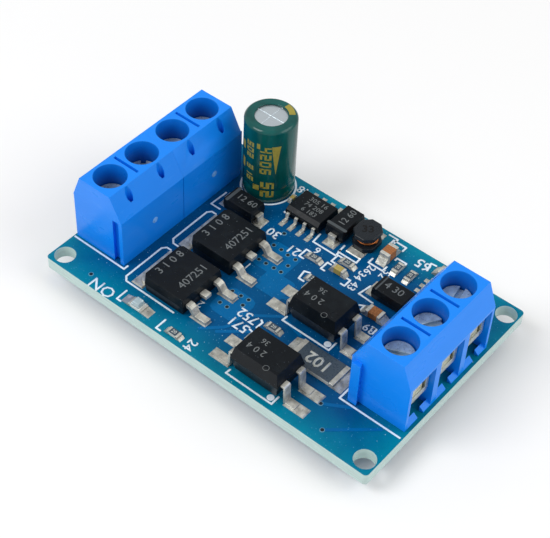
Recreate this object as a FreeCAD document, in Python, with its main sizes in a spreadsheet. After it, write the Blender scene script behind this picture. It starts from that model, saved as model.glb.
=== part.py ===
import FreeCAD, Part
import Sketcher
import math
import os

# Isolated mosfet switch module, in millimetres.
# X runs along the board from the power terminals to the signal terminals, Y across it
# and Z up. The origin is the centre of the four mounting holes, on the board's underside.

os.makedirs("parts", exist_ok=True)
doc = FreeCAD.newDocument("mosfet_switch_module")
sheet = doc.addObject("Spreadsheet::Sheet", "sizes")
Vector = FreeCAD.Vector
UP = Vector(0, 0, 1)
ALONG_X = Vector(1, 0, 0)


class Size:
    """A length that is known as a formula over the sheet and as its present value."""

    def __init__(self, formula, value):
        self.formula = formula
        self.value = value

    def __add__(self, other):
        other = sized(other)
        return Size("(%s + %s)" % (self.formula, other.formula), self.value + other.value)

    def __sub__(self, other):
        other = sized(other)
        return Size("(%s - %s)" % (self.formula, other.formula), self.value - other.value)

    def __mul__(self, other):
        other = sized(other)
        return Size("(%s * %s)" % (self.formula, other.formula), self.value * other.value)

    def __truediv__(self, other):
        other = sized(other)
        return Size("(%s / %s)" % (self.formula, other.formula), self.value / other.value)

    def __neg__(self):
        return Size("(0 - %s)" % self.formula, -self.value)


def sized(number):
    """A plain number as a Size."""
    if isinstance(number, Size):
        return number
    return Size("(%.6f)" % number, float(number))


def root(size):
    """The square root of a Size."""
    return Size("sqrt(%s)" % size.formula, math.sqrt(size.value))


def size(name, value):
    """One named driving dimension, as a row of the sheet."""
    size.row += 1
    cell = "B%d" % size.row
    sheet.set("A%d" % size.row, name)
    sheet.set(cell, str(value))
    sheet.setAlias(cell, name)
    return Size("sizes." + name, float(value))


size.row = 0

# Circuit board
board_length = size("board_length", 45.9)
board_width = size("board_width", 29.3)
board_thickness = size("board_thickness", 1.6)
board_corner = size("board_corner", 0.5)
hole_spacing_x = size("hole_spacing_x", 43.0)
hole_spacing_y = size("hole_spacing_y", 26.0)
hole_radius = size("hole_radius", 1.25)
solder_film = size("solder_film", 0.05)

# Screw terminals: places and poles
pole_pitch = size("pole_pitch", 5.08)
power_terminal_x = size("power_terminal_x", -19.24)
power_terminal_y = size("power_terminal_y", 0.28)
signal_terminal_x = size("signal_terminal_x", 19.07)
signal_terminal_y = size("signal_terminal_y", -0.05)

# Screw terminals: moulded housing, measured from the screw axis
housing_height = size("housing_height", 9.75)
housing_front = size("housing_front", 3.46)
housing_back = size("housing_back", 3.95)
crown_front = size("crown_front", 2.31)
crown_back = size("crown_back", 2.31)
front_slope_drop = size("front_slope_drop", 3.03)
back_slope_drop = size("back_slope_drop", 3.14)
end_step = size("end_step", 0.04)
well_radius = size("well_radius", 1.93)
shoulder_thickness = size("shoulder_thickness", 0.4)
window_width = size("window_width", 4.12)
chamber_back = size("chamber_back", 2.05)
sill_depth = size("sill_depth", 0.55)
sill_lip = size("sill_lip", 0.2)
sill_rise = size("sill_rise", 0.7)
sill_notch_width = size("sill_notch_width", 1.0)
sill_notch_shift = size("sill_notch_shift", 0.3)
crown_slot_length = size("crown_slot_length", 3.62)
crown_slot_width = size("crown_slot_width", 0.36)
crown_slot_depth = size("crown_slot_depth", 1.2)
dimple_radius = size("dimple_radius", 0.43)
dimple_inset = size("dimple_inset", 0.5)
dimple_depth = size("dimple_depth", 3.0)
dovetail_centre = size("dovetail_centre", 2.98)
dovetail_neck = size("dovetail_neck", 0.76)
dovetail_width = size("dovetail_width", 1.15)
dovetail_reach = size("dovetail_reach", 0.55)
dovetail_height = size("dovetail_height", 6.3)
dovetail_play = size("dovetail_play", 0.05)

# Screw terminals: screw, clamp and contact
power_screw_depth = size("power_screw_depth", 2.75)
signal_screw_depth = size("signal_screw_depth", 2.05)
screw_head_radius = size("screw_head_radius", 1.75)
screw_head_thickness = size("screw_head_thickness", 0.9)
screw_shank_radius = size("screw_shank_radius", 1.25)
screw_slot_width = size("screw_slot_width", 0.6)
screw_slot_depth = size("screw_slot_depth", 0.45)
running_play = size("running_play", 0.05)
seat_play = size("seat_play", 0.03)
clamp_width = size("clamp_width", 3.76)
clamp_front = size("clamp_front", 2.86)
clamp_back = size("clamp_back", 1.98)
clamp_wall = size("clamp_wall", 0.55)
clamp_bar = size("clamp_bar", 0.78)
clamp_bend = size("clamp_bend", 0.3)
clamp_travel = size("clamp_travel", 1.5)
contact_thickness = size("contact_thickness", 0.5)
contact_width = size("contact_width", 2.3)
contact_reach = size("contact_reach", 2.6)
contact_pin_width = size("contact_pin_width", 1.0)
pin_stick_out = size("pin_stick_out", 1.8)
pin_hole_play = size("pin_hole_play", 0.09)
pin_joint_radius = size("pin_joint_radius", 1.0)
pin_joint_height = size("pin_joint_height", 0.8)

# Mosfets in flat three-lead packages
mosfet_x = size("mosfet_x", -8.28)
mosfet_near_y = size("mosfet_near_y", -7.79)
mosfet_far_y = size("mosfet_far_y", 0.02)
mosfet_length = size("mosfet_length", 6.1)
mosfet_width = size("mosfet_width", 6.5)
mosfet_height = size("mosfet_height", 2.3)
mosfet_parting = size("mosfet_parting", 1.2)
mosfet_corner = size("mosfet_corner", 0.45)
mosfet_tab_length = size("mosfet_tab_length", 1.0)
mosfet_tab_width = size("mosfet_tab_width", 5.3)
mosfet_tab_cover = size("mosfet_tab_cover", 4.2)
mosfet_lead_spacing = size("mosfet_lead_spacing", 4.57)
mosfet_lead_width = size("mosfet_lead_width", 0.9)
mosfet_lead_thickness = size("mosfet_lead_thickness", 0.5)
mosfet_lead_run = size("mosfet_lead_run", 0.75)
mosfet_lead_fall = size("mosfet_lead_fall", 0.6)
mosfet_lead_reach = size("mosfet_lead_reach", 2.85)
mosfet_stub_length = size("mosfet_stub_length", 0.95)
mosfet_bend = size("mosfet_bend", 0.25)
mosfet_pad_start = size("mosfet_pad_start", 3.6)
mosfet_pad_end = size("mosfet_pad_end", 5.98)
mosfet_pad_width = size("mosfet_pad_width", 1.12)
mosfet_tab_pad_end = size("mosfet_tab_pad_end", 4.75)
ejector_mark_radius = size("ejector_mark_radius", 0.55)
ejector_mark_depth = size("ejector_mark_depth", 0.05)

# Diodes
diode_length = size("diode_length", 4.3)
diode_width = size("diode_width", 2.6)
diode_height = size("diode_height", 2.0)
diode_underside = size("diode_underside", 0.3)
diode_parting = size("diode_parting", 1.1)
diode_lead_width = size("diode_lead_width", 1.0)
diode_lead_thickness = size("diode_lead_thickness", 0.2)
diode_lead_reach = size("diode_lead_reach", 2.6)
diode_foot_inset = size("diode_foot_inset", 1.2)
diode_pad_end = size("diode_pad_end", 3.2)
diode_pad_width = size("diode_pad_width", 1.75)
diode_1_x = size("diode_1_x", 0.06)
diode_1_y = size("diode_1_y", 11.16)
diode_2_x = size("diode_2_x", 10.85)
diode_2_y = size("diode_2_y", 5.96)
diode_3_x = size("diode_3_x", -10.72)
diode_3_y = size("diode_3_y", 5.71)

# Optocouplers
opto_x = size("opto_x", 7.0)
opto_near_y = size("opto_near_y", -11.27)
opto_far_y = size("opto_far_y", -1.62)
opto_length = size("opto_length", 6.5)
opto_width = size("opto_width", 4.6)
opto_height = size("opto_height", 4.05)
opto_underside = size("opto_underside", 0.55)
opto_parting = size("opto_parting", 2.45)
opto_pin_pitch = size("opto_pin_pitch", 2.54)
opto_lead_width = size("opto_lead_width", 1.0)
opto_lead_thickness = size("opto_lead_thickness", 0.25)
opto_lead_run = size("opto_lead_run", 0.6)
opto_lead_fall = size("opto_lead_fall", 0.12)
opto_lead_reach = size("opto_lead_reach", 1.95)
opto_bend = size("opto_bend", 0.15)
opto_pad_start = size("opto_pad_start", 3.79)
opto_pad_end = size("opto_pad_end", 6.56)
opto_pad_width = size("opto_pad_width", 1.4)
opto_mark_radius = size("opto_mark_radius", 0.4)
opto_mark_inset = size("opto_mark_inset", 1.1)

# Eight-pin regulator
regulator_x = size("regulator_x", -4.27)
regulator_y = size("regulator_y", 10.41)
regulator_length = size("regulator_length", 4.9)
regulator_width = size("regulator_width", 3.9)
regulator_height = size("regulator_height", 1.6)
regulator_underside = size("regulator_underside", 0.15)
regulator_parting = size("regulator_parting", 0.85)
regulator_bevel = size("regulator_bevel", 0.45)
regulator_pitch = size("regulator_pitch", 1.27)
regulator_lead_width = size("regulator_lead_width", 0.42)
regulator_lead_thickness = size("regulator_lead_thickness", 0.2)
regulator_lead_run = size("regulator_lead_run", 0.3)
regulator_lead_fall = size("regulator_lead_fall", 0.12)
regulator_lead_reach = size("regulator_lead_reach", 1.05)
regulator_pad_start = size("regulator_pad_start", 2.45)
regulator_pad_end = size("regulator_pad_end", 3.52)
regulator_pad_width = size("regulator_pad_width", 0.6)

# Six-pin chip beside the signal terminals
chip_x = size("chip_x", 13.5)
chip_y = size("chip_y", 10.22)
chip_length = size("chip_length", 1.6)
chip_width = size("chip_width", 2.9)
chip_height = size("chip_height", 1.15)
chip_underside = size("chip_underside", 0.12)
chip_parting = size("chip_parting", 0.65)
chip_pitch = size("chip_pitch", 0.95)
chip_lead_width = size("chip_lead_width", 0.38)
chip_lead_thickness = size("chip_lead_thickness", 0.15)
chip_lead_run = size("chip_lead_run", 0.26)
chip_lead_fall = size("chip_lead_fall", 0.08)
chip_lead_reach = size("chip_lead_reach", 0.6)
chip_pad_start = size("chip_pad_start", 1.0)
chip_pad_end = size("chip_pad_end", 1.85)
chip_pad_width = size("chip_pad_width", 0.55)

# Power inductor
inductor_x = size("inductor_x", 3.2)
inductor_y = size("inductor_y", 11.33)
inductor_length = size("inductor_length", 3.5)
inductor_width = size("inductor_width", 3.0)
inductor_corner = size("inductor_corner", 0.85)
inductor_height = size("inductor_height", 2.3)
inductor_base_thickness = size("inductor_base_thickness", 0.6)
inductor_cap_thickness = size("inductor_cap_thickness", 0.6)
inductor_rim = size("inductor_rim", 0.12)
inductor_hub_radius = size("inductor_hub_radius", 0.8)
inductor_winding_radius = size("inductor_winding_radius", 1.3)
inductor_plate_thickness = size("inductor_plate_thickness", 0.1)
inductor_plate_inset = size("inductor_plate_inset", 1.0)
inductor_plate_width = size("inductor_plate_width", 1.9)
inductor_pad_end = size("inductor_pad_end", 2.6)
inductor_pad_width = size("inductor_pad_width", 2.1)

# Electrolytic capacitor
capacitor_x = size("capacitor_x", -11.53)
capacitor_y = size("capacitor_y", 11.18)
capacitor_radius = size("capacitor_radius", 3.15)
capacitor_height = size("capacitor_height", 11.2)
capacitor_underside = size("capacitor_underside", 0.1)
capacitor_rim = size("capacitor_rim", 0.3)
capacitor_vent_radius = size("capacitor_vent_radius", 1.93)
capacitor_groove_height = size("capacitor_groove_height", 1.9)
capacitor_groove_width = size("capacitor_groove_width", 0.9)
capacitor_groove_depth = size("capacitor_groove_depth", 0.15)
capacitor_sleeve_wall = size("capacitor_sleeve_wall", 0.22)
capacitor_sleeve_play = size("capacitor_sleeve_play", 0.02)
capacitor_seal_height = size("capacitor_seal_height", 1.3)
capacitor_score_width = size("capacitor_score_width", 0.14)
capacitor_score_depth = size("capacitor_score_depth", 0.06)
capacitor_lead_radius = size("capacitor_lead_radius", 0.25)
capacitor_lead_spacing = size("capacitor_lead_spacing", 2.5)

# Chip resistors, chip capacitors and the indicator
resistor_length = size("resistor_length", 1.6)
resistor_width = size("resistor_width", 0.8)
resistor_height = size("resistor_height", 0.45)
resistor_cap = size("resistor_cap", 0.3)
resistor_pad_end = size("resistor_pad_end", 1.22)
small_capacitor_height = size("small_capacitor_height", 0.8)
tiny_capacitor_length = size("tiny_capacitor_length", 1.0)
tiny_capacitor_width = size("tiny_capacitor_width", 0.5)
tiny_capacitor_cap = size("tiny_capacitor_cap", 0.22)
tiny_capacitor_pad_end = size("tiny_capacitor_pad_end", 0.7)
large_capacitor_length = size("large_capacitor_length", 2.0)
large_capacitor_width = size("large_capacitor_width", 1.25)
large_capacitor_height = size("large_capacitor_height", 1.25)
low_capacitor_height = size("low_capacitor_height", 0.85)
large_capacitor_cap = size("large_capacitor_cap", 0.42)
large_capacitor_pad_end = size("large_capacitor_pad_end", 1.75)
power_resistor_x = size("power_resistor_x", 10.31)
power_resistor_y = size("power_resistor_y", -6.53)
power_resistor_length = size("power_resistor_length", 6.3)
power_resistor_width = size("power_resistor_width", 3.15)
power_resistor_height = size("power_resistor_height", 0.55)
power_resistor_cap = size("power_resistor_cap", 0.6)
power_resistor_pad_end = size("power_resistor_pad_end", 4.2)
led_x = size("led_x", -9.9)
led_y = size("led_y", -13.2)
led_length = size("led_length", 2.0)
led_width = size("led_width", 1.25)
led_base_height = size("led_base_height", 0.35)
led_cap = size("led_cap", 0.3)
led_lens_length = size("led_lens_length", 1.2)
led_lens_top_length = size("led_lens_top_length", 0.9)
led_lens_height = size("led_lens_height", 0.6)
led_pad_end = size("led_pad_end", 2.03)
chip_joint_top = size("chip_joint_top", 0.1)
small_resistor_places = [
    (size("resistor_1_x", -4.17), size("resistor_1_y", -13.6), False),
    (size("resistor_2_x", 3.48), size("resistor_2_y", -5.89), False),
    (size("resistor_3_x", 0.2), size("resistor_3_y", 5.28), False),
    (size("resistor_4_x", 3.61), size("resistor_4_y", 7.14), False),
    (size("resistor_5_x", 8.41), size("resistor_5_y", 10.36), True),
    (size("resistor_6_x", 10.2), size("resistor_6_y", 10.26), True),
    (size("resistor_7_x", 2.3), size("resistor_7_y", 2.57), False),
]
ceramic_1_x = size("ceramic_1_x", 6.4)
ceramic_1_y = size("ceramic_1_y", 11.28)
ceramic_2_x = size("ceramic_2_x", 10.67)
ceramic_2_y = size("ceramic_2_y", 3.0)
ceramic_3_x = size("ceramic_3_x", 13.3)
ceramic_3_y = size("ceramic_3_y", 13.1)
ceramic_4_x = size("ceramic_4_x", 3.62)
ceramic_4_y = size("ceramic_4_y", 5.52)
ceramic_5_x = size("ceramic_5_x", -7.78)
ceramic_5_y = size("ceramic_5_y", 11.17)
lead_joint_height = size("lead_joint_height", 0.16)
lead_joint_inset = size("lead_joint_inset", 0.12)

# Drafts of the moulded packages, in degrees
package_draft = size("package_draft", 7)
opto_draft = size("opto_draft", 13)

doc.recompute()

zero = sized(0)
board_top = board_thickness
film_top = board_top + solder_film
nodes = []


def bind(item, prop, length):
    """Tie a property to a formula over the sheet."""
    item.setExpression(prop, sized(length).formula)


def place(item, x, y, z, turn=0):
    """Put an object at a point, turned about Z by so many degrees."""
    item.Placement = FreeCAD.Placement(Vector(0, 0, 0), FreeCAD.Rotation(UP, turn))
    bind(item, "Placement.Base.x", x)
    bind(item, "Placement.Base.y", y)
    bind(item, "Placement.Base.z", z)


def new_body(name, x, y, z, turn=0):
    """An empty body in its place."""
    body = doc.addObject("PartDesign::Body", name)
    body.Label = name
    place(body, x, y, z, turn)
    return body


def origin_item(body, role):
    """One plane or axis of a body's own origin."""
    for item in body.Origin.OriginFeatures:
        if item.Role == role:
            return item
    raise ValueError("no origin item " + role)


def draw(body, name, plane, loops=(), circles=(), lift=None):
    """A sketch of closed outlines and circles, every corner and centre held by formulas."""
    sketch = body.newObject("Sketcher::SketchObject", name)
    sketch.AttachmentSupport = (origin_item(body, plane), [""])
    sketch.MapMode = "FlatFace"
    if lift is not None:
        bind(sketch, "AttachmentOffset.Base.z", lift)
    for loop in loops:
        first = sketch.GeometryCount
        count = len(loop)
        corners = [Vector(u.value, v.value, 0) for u, v in loop]
        for i in range(count):
            sketch.addGeometry(Part.LineSegment(corners[i], corners[(i + 1) % count]), False)
        for i in range(count):
            sketch.addConstraint(Sketcher.Constraint("Coincident", first + i, 2, first + (i + 1) % count, 1))
        for i, (u, v) in enumerate(loop):
            hold(sketch, Sketcher.Constraint("DistanceX", -1, 1, first + i, 1, u.value), u)
            hold(sketch, Sketcher.Constraint("DistanceY", -1, 1, first + i, 1, v.value), v)
    for u, v, radius in circles:
        first = sketch.GeometryCount
        sketch.addGeometry(Part.Circle(Vector(u.value, v.value, 0), UP, radius.value), False)
        hold(sketch, Sketcher.Constraint("Radius", first, radius.value), radius)
        hold(sketch, Sketcher.Constraint("DistanceX", -1, 1, first, 3, u.value), u)
        hold(sketch, Sketcher.Constraint("DistanceY", -1, 1, first, 3, v.value), v)
    return sketch


def hold(sketch, constraint, length):
    """Add a constraint and tie it to a formula."""
    index = sketch.addConstraint(constraint)
    sketch.setExpression("Constraints[%d]" % index, length.formula)


def rectangle(u0, u1, v0, v1):
    """The corners of a rectangle."""
    return [(u0, v0), (u1, v0), (u1, v1), (u0, v1)]


def cut_corner_rectangle(half_u, half_v, corner):
    """A rectangle about the origin with all four corners cut off."""
    return [
        (-half_u + corner, -half_v), (half_u - corner, -half_v),
        (half_u, -half_v + corner), (half_u, half_v - corner),
        (half_u - corner, half_v), (-half_u + corner, half_v),
        (-half_u, half_v - corner), (-half_u, -half_v + corner),
    ]


def pad(body, sketch, length, both_ways=False, reverse=False, draft=None):
    """Extrude a sketch, with an optional draft."""
    feature = body.newObject("PartDesign::Pad", sketch.Name + "_pad")
    feature.Profile = sketch
    bind(feature, "Length", length)
    feature.Reversed = reverse
    if both_ways:
        feature.SideType = "Symmetric"
    if draft is not None:
        bind(feature, "TaperAngle", -draft)
    return feature


def pocket(body, sketch, depth=None, reverse=False):
    """Cut a sketch to a depth, or right through the body."""
    feature = body.newObject("PartDesign::Pocket", sketch.Name + "_pocket")
    feature.Profile = sketch
    if depth is None:
        feature.Type = "ThroughAll"
        feature.SideType = "Symmetric"
    else:
        bind(feature, "Length", depth)
    feature.Reversed = reverse
    return feature


def revolve(body, sketch):
    """Turn a sketch on the XZ plane about Z."""
    feature = body.newObject("PartDesign::Revolution", sketch.Name + "_revolution")
    feature.Profile = sketch
    feature.ReferenceAxis = (sketch, ["V_Axis"])
    feature.Angle = 360
    return feature


def repeat(body, features, axis, pitch, count):
    """Repeat features along an axis of the body."""
    if count < 2:
        return
    pattern = body.newObject("PartDesign::LinearPattern", features[0].Name + "_row")
    pattern.Originals = features
    pattern.Direction = (origin_item(body, axis), [""])
    pattern.Mode = "Spacing"
    bind(pattern, "Offset", pitch)
    pattern.Occurrences = count
    body.Tip = pattern


def dress(body, kind, length, wanted):
    """Fillet or chamfer the edges of the body that the test picks."""
    doc.recompute()
    base = body.Tip
    names = ["Edge%d" % (i + 1) for i, edge in enumerate(base.Shape.Edges) if wanted(edge)]
    if not names:
        raise ValueError("no edge to dress on " + body.Label)
    feature = body.newObject("PartDesign::" + kind, body.Name + "_" + kind.lower())
    feature.Base = (base, names)
    bind(feature, "Radius" if kind == "Fillet" else "Size", length)
    return feature


def near(a, b):
    """Whether two lengths agree."""
    return abs(a - b) < 1e-4


def runs_through(edge, spots, axes):
    """Whether both ends of a straight edge lie over one of the spots, seen along the third axis."""
    if edge.Curve.TypeId != "Part::GeomLine":
        return False
    ends = [vertex.Point for vertex in edge.Vertexes]
    for u, v in spots:
        if all(near(end[axes[0]], u) and near(end[axes[1]], v) for end in ends):
            return True
    return False


def make_board():
    """The board, with its mounting holes and the holes for every soldered pin."""
    body = new_body("circuit_board", zero, zero, zero)
    half_x = board_length / 2
    half_y = board_width / 2
    outline = draw(body, "board_outline", "XY_Plane", [rectangle(-half_x, half_x, -half_y, half_y)])
    pad(body, outline, board_thickness)
    corners = [(i * half_x.value, j * half_y.value) for i in (-1, 1) for j in (-1, 1)]
    dress(body, "Fillet", board_corner, lambda edge: runs_through(edge, corners, (0, 1)))
    hole_x = hole_spacing_x / 2
    hole_y = hole_spacing_y / 2
    holes = [(hole_x * i, hole_y * j, hole_radius) for i in (-1, 1) for j in (-1, 1)]
    pocket(body, draw(body, "mounting_holes", "XY_Plane", circles=holes))
    slot_x = contact_thickness / 2 + pin_hole_play
    slot_y = contact_pin_width / 2 + pin_hole_play
    slots = [rectangle(x - slot_x, x + slot_x, y - slot_y, y + slot_y) for x, y in contact_pin_places()]
    slots += [octagon(x, y, capacitor_lead_radius + pin_hole_play) for x, y in capacitor_lead_places()]
    pocket(body, draw(body, "pin_holes", "XY_Plane", slots))
    nodes.append(body)


class TerminalBlock:
    """A row of poles: where it stands, which way its wires enter and how its housings divide it."""

    def __init__(self, name, x, y, turn, screw_depth, housings, screw_turns):
        self.name = name
        self.x = x
        self.turn = turn
        self.screw_depth = screw_depth
        self.housings = housings
        self.screw_turns = screw_turns
        self.way = 1 if turn == 0 else -1
        self.poles = sum(housings)
        self.first_y = y - pole_pitch * (self.way * (self.poles - 1) / 2.0)

    def pole_y(self, pole):
        """The place of one pole's screw across the board."""
        return self.first_y + pole_pitch * (self.way * pole)

    def well_depth(self):
        """Depth of the screw well, down to the shoulder under the head."""
        return self.screw_depth + screw_head_thickness + seat_play

    def chamber_top(self):
        """Roof of the clamp's chamber above the board."""
        return housing_height - self.well_depth() - shoulder_thickness

    def clamp_top(self):
        """Top of the raised clamp."""
        return self.chamber_top() - seat_play

    def contact_top(self):
        """Top of the contact, just clear of the clamp's top bar when it is down."""
        return self.clamp_top() - clamp_bar - clamp_travel - running_play

    def clamp_bottom(self):
        """Underside of the raised clamp."""
        return self.contact_top() - contact_thickness - seat_play - clamp_bar


power_block = TerminalBlock(
    "power", power_terminal_x, power_terminal_y, 180, power_screw_depth, (2, 2), (20, 75, 130, 40))
signal_block = TerminalBlock(
    "signal", signal_terminal_x, signal_terminal_y, 0, signal_screw_depth, (3,), (25, 60, 100))
blocks = (power_block, signal_block)
contact_leg_back = chamber_back + running_play + contact_thickness


def contact_pin_places():
    """Where the terminals' pins pass through the board."""
    pin_shift = contact_leg_back - contact_thickness / 2
    return [(block.x - pin_shift * block.way, block.pole_y(i)) for block in blocks for i in range(block.poles)]


def capacitor_lead_places():
    """Where the electrolytic capacitor's leads pass through the board."""
    return [(capacitor_x + capacitor_lead_spacing * side, capacitor_y) for side in (-0.5, 0.5)]


def dovetail(half_neck, half_width, root_y, tip_y):
    """Outline of the rib or slot that hooks one housing to the next."""
    return [
        (-dovetail_centre - half_neck, root_y), (-dovetail_centre + half_neck, root_y),
        (-dovetail_centre + half_width, tip_y), (-dovetail_centre - half_width, tip_y),
    ]


def make_housing(block, number, first_pole, poles):
    """One moulded terminal housing: crown, slopes, wells, wire windows, sills and hooks."""
    name = block.name + "_terminal_housing"
    if len(block.housings) > 1:
        name = "%s_%d" % (name, number)
    body = new_body(name, block.x, block.pole_y(first_pole), board_top, block.turn)
    near_end = -pole_pitch / 2
    width = pole_pitch * poles
    step_height = housing_height - back_slope_drop
    foot = [
        (-housing_back, zero), (housing_front, zero),
        (housing_front, step_height), (-housing_back, step_height),
    ]
    crown = [
        (-housing_back, step_height), (housing_front, step_height),
        (housing_front, housing_height - front_slope_drop), (crown_front, housing_height),
        (-crown_back, housing_height),
    ]
    foot_sketch = draw(body, name + "_foot", "XZ_Plane", [foot], lift=-near_end - end_step)
    pad(body, foot_sketch, width - end_step * 2, reverse=True)
    crown_sketch = draw(body, name + "_crown", "XZ_Plane", [crown], lift=-near_end)
    pad(body, crown_sketch, width, reverse=True)

    # Chambers behind the wire windows, open to the board
    half_window = window_width / 2
    chamber = draw(body, name + "_chamber", "XY_Plane", [
        rectangle(-chamber_back, housing_front + end_step, -half_window, half_window)])
    chamber_cut = pocket(body, chamber, block.chamber_top(), reverse=True)
    half_leg = contact_width / 2 + running_play
    leg_slot = draw(body, name + "_leg_slot", "XY_Plane", [
        rectangle(-contact_leg_back - running_play, -chamber_back + end_step, -half_leg, half_leg)])
    leg_cut = pocket(body, leg_slot, block.contact_top() + running_play, reverse=True)
    repeat(body, [chamber_cut, leg_cut], "Y_Axis", pole_pitch, poles)

    # Sloping sills at the foot of the windows, each with a notch
    sill_back = housing_front - sill_depth
    sill = draw(body, name + "_sill", "XZ_Plane", [
        [(sill_back, zero), (housing_front, zero), (housing_front, sill_lip), (sill_back, sill_rise)]])
    sill_pad = pad(body, sill, window_width, both_ways=True)
    repeat(body, [sill_pad], "Y_Axis", pole_pitch, poles)
    notch_low = sill_notch_shift - sill_notch_width / 2
    notch_high = sill_notch_shift + sill_notch_width / 2
    notch = draw(body, name + "_notch", "XY_Plane", [
        rectangle(sill_back - end_step, housing_front + end_step, notch_low, notch_high)])
    notch_cut = pocket(body, notch, sill_rise + end_step, reverse=True)
    repeat(body, [notch_cut], "Y_Axis", pole_pitch, poles)

    # Screw wells with a shoulder, and the blind dimples in the back slope
    well = draw(body, name + "_well", "XY_Plane", circles=[(zero, zero, well_radius)], lift=housing_height)
    well_cut = pocket(body, well, block.well_depth())
    bore = draw(body, name + "_bore", "XY_Plane", [
        octagon(zero, zero, screw_shank_radius + running_play * 2)], lift=housing_height)
    bore_cut = pocket(body, bore, block.well_depth() + shoulder_thickness)
    dimple_centre = -crown_back - dimple_inset
    dimple = draw(body, name + "_dimple", "XY_Plane", [
        octagon(dimple_centre, zero, dimple_radius)], lift=housing_height)
    dimple_cut = pocket(body, dimple, dimple_depth)
    repeat(body, [well_cut, bore_cut, dimple_cut], "Y_Axis", pole_pitch, poles)

    # Thin slots across the crown between the poles
    half_slot = crown_slot_length / 2
    slot_y = pole_pitch / 2
    slot = draw(body, name + "_slot", "XY_Plane", [
        rectangle(-half_slot, half_slot, slot_y - crown_slot_width / 2, slot_y + crown_slot_width / 2)],
        lift=housing_height)
    slot_cut = pocket(body, slot, crown_slot_depth)
    repeat(body, [slot_cut], "Y_Axis", pole_pitch, poles - 1)

    # Dovetail rib on one end and its slot on the other
    rib_root = near_end + end_step
    rib = draw(body, name + "_rib", "XY_Plane", [
        dovetail(dovetail_neck / 2, dovetail_width / 2, rib_root, near_end - dovetail_reach)])
    pad(body, rib, dovetail_height)
    far_end = near_end + width
    mouth = dovetail_neck / 2 + dovetail_play
    floor = dovetail_width / 2 + dovetail_play
    hook_slot = draw(body, name + "_hook_slot", "XY_Plane", [
        dovetail(floor, mouth, far_end - dovetail_reach - dovetail_play, far_end)])
    pocket(body, hook_slot, dovetail_height + dovetail_play, reverse=True)
    nodes.append(body)


def make_screw(block, pole):
    """A slotted clamp screw, standing in its well. The thread is left plain, with eight flats."""
    name = "%s_screw_%d" % (block.name, pole + 1)
    body = new_body(name, block.x, block.pole_y(pole), board_top, block.turn + block.screw_turns[pole])
    head_top = housing_height - block.screw_depth
    head_bottom = head_top - screw_head_thickness
    tip = block.contact_top() + seat_play
    flat = screw_shank_radius * 0.92
    shank = draw(body, name + "_shank", "XY_Plane", [octagon(zero, zero, flat)], lift=tip)
    pad(body, shank, head_bottom - tip)
    head = draw(body, name + "_head", "XY_Plane", circles=[(zero, zero, screw_head_radius)],
                lift=head_bottom)
    pad(body, head, screw_head_thickness)
    half = screw_slot_width / 2
    slot = draw(body, name + "_slot", "XY_Plane", [
        rectangle(-screw_head_radius, screw_head_radius, -half, half)], lift=head_top)
    pocket(body, slot, screw_slot_depth)
    nodes.append(body)


def make_clamp(block, pole):
    """A rising wire clamp, bent from sheet to a square loop with a threaded top bar."""
    name = "%s_clamp_%d" % (block.name, pole + 1)
    body = new_body(name, block.x, block.pole_y(pole), board_top, block.turn)
    bottom = block.clamp_bottom()
    top = block.clamp_top()
    half = clamp_width / 2
    loop = draw(
        body, name + "_loop", "YZ_Plane", [
            rectangle(-half, half, bottom, top),
            rectangle(-half + clamp_wall, half - clamp_wall, bottom + clamp_bar, top - clamp_bar)],
        lift=-clamp_back)
    pad(body, loop, clamp_back + clamp_front)
    bends = [(side * half.value, height.value) for side in (-1, 1) for height in (bottom, top)]
    dress(body, "Chamfer", clamp_bend, lambda edge: runs_through(edge, bends, (1, 2)))
    hole = draw(body, name + "_hole", "XY_Plane", [
        octagon(zero, zero, screw_shank_radius + running_play)], lift=top)
    pocket(body, hole, clamp_bar)
    nodes.append(body)


def make_contact(block, pole):
    """The fixed contact: a tongue through the clamp, a leg behind it and a pin through the board."""
    name = "%s_contact_%d" % (block.name, pole + 1)
    body = new_body(name, block.x, block.pole_y(pole), board_top, block.turn)
    top = block.contact_top()
    under = top - contact_thickness
    leg_front = -contact_leg_back + contact_thickness
    strip = [
        (-contact_leg_back, zero), (leg_front, zero), (leg_front, under),
        (contact_reach, under), (contact_reach, top), (-contact_leg_back, top),
    ]
    pad(body, draw(body, name + "_strip", "XZ_Plane", [strip]), contact_width, both_ways=True)
    tip = -board_thickness - pin_stick_out
    pin = draw(body, name + "_pin", "XZ_Plane", [rectangle(-contact_leg_back, leg_front, tip, zero)])
    pad(body, pin, contact_pin_width, both_ways=True)
    nodes.append(body)


def make_block(block):
    """Everything in one row of terminals."""
    first = 0
    for number, poles in enumerate(block.housings, 1):
        make_housing(block, number, first, poles)
        first += poles
    for pole in range(block.poles):
        make_screw(block, pole)
        make_clamp(block, pole)
        make_contact(block, pole)


def octagon(u, v, flat):
    """The corners of an eight-sided hole or bar, from its centre to its flats."""
    corner = flat * (math.sqrt(2) - 1)
    offsets = [
        (-corner, -flat), (corner, -flat), (flat, -corner), (flat, corner),
        (corner, flat), (-corner, flat), (-flat, corner), (-flat, -corner),
    ]
    return [(u + du, v + dv) for du, dv in offsets]


def moulded_block(body, name, outline, bottom, parting, top, draft):
    """A package body: one outline at the parting plane, drafted upwards and downwards."""
    upper = draw(body, name + "_upper", "XY_Plane", [outline], lift=parting)
    pad(body, upper, top - parting, draft=draft)
    lower = draw(body, name + "_lower", "XY_Plane", [outline], lift=parting)
    pad(body, lower, parting - bottom, reverse=True, draft=draft)


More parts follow.
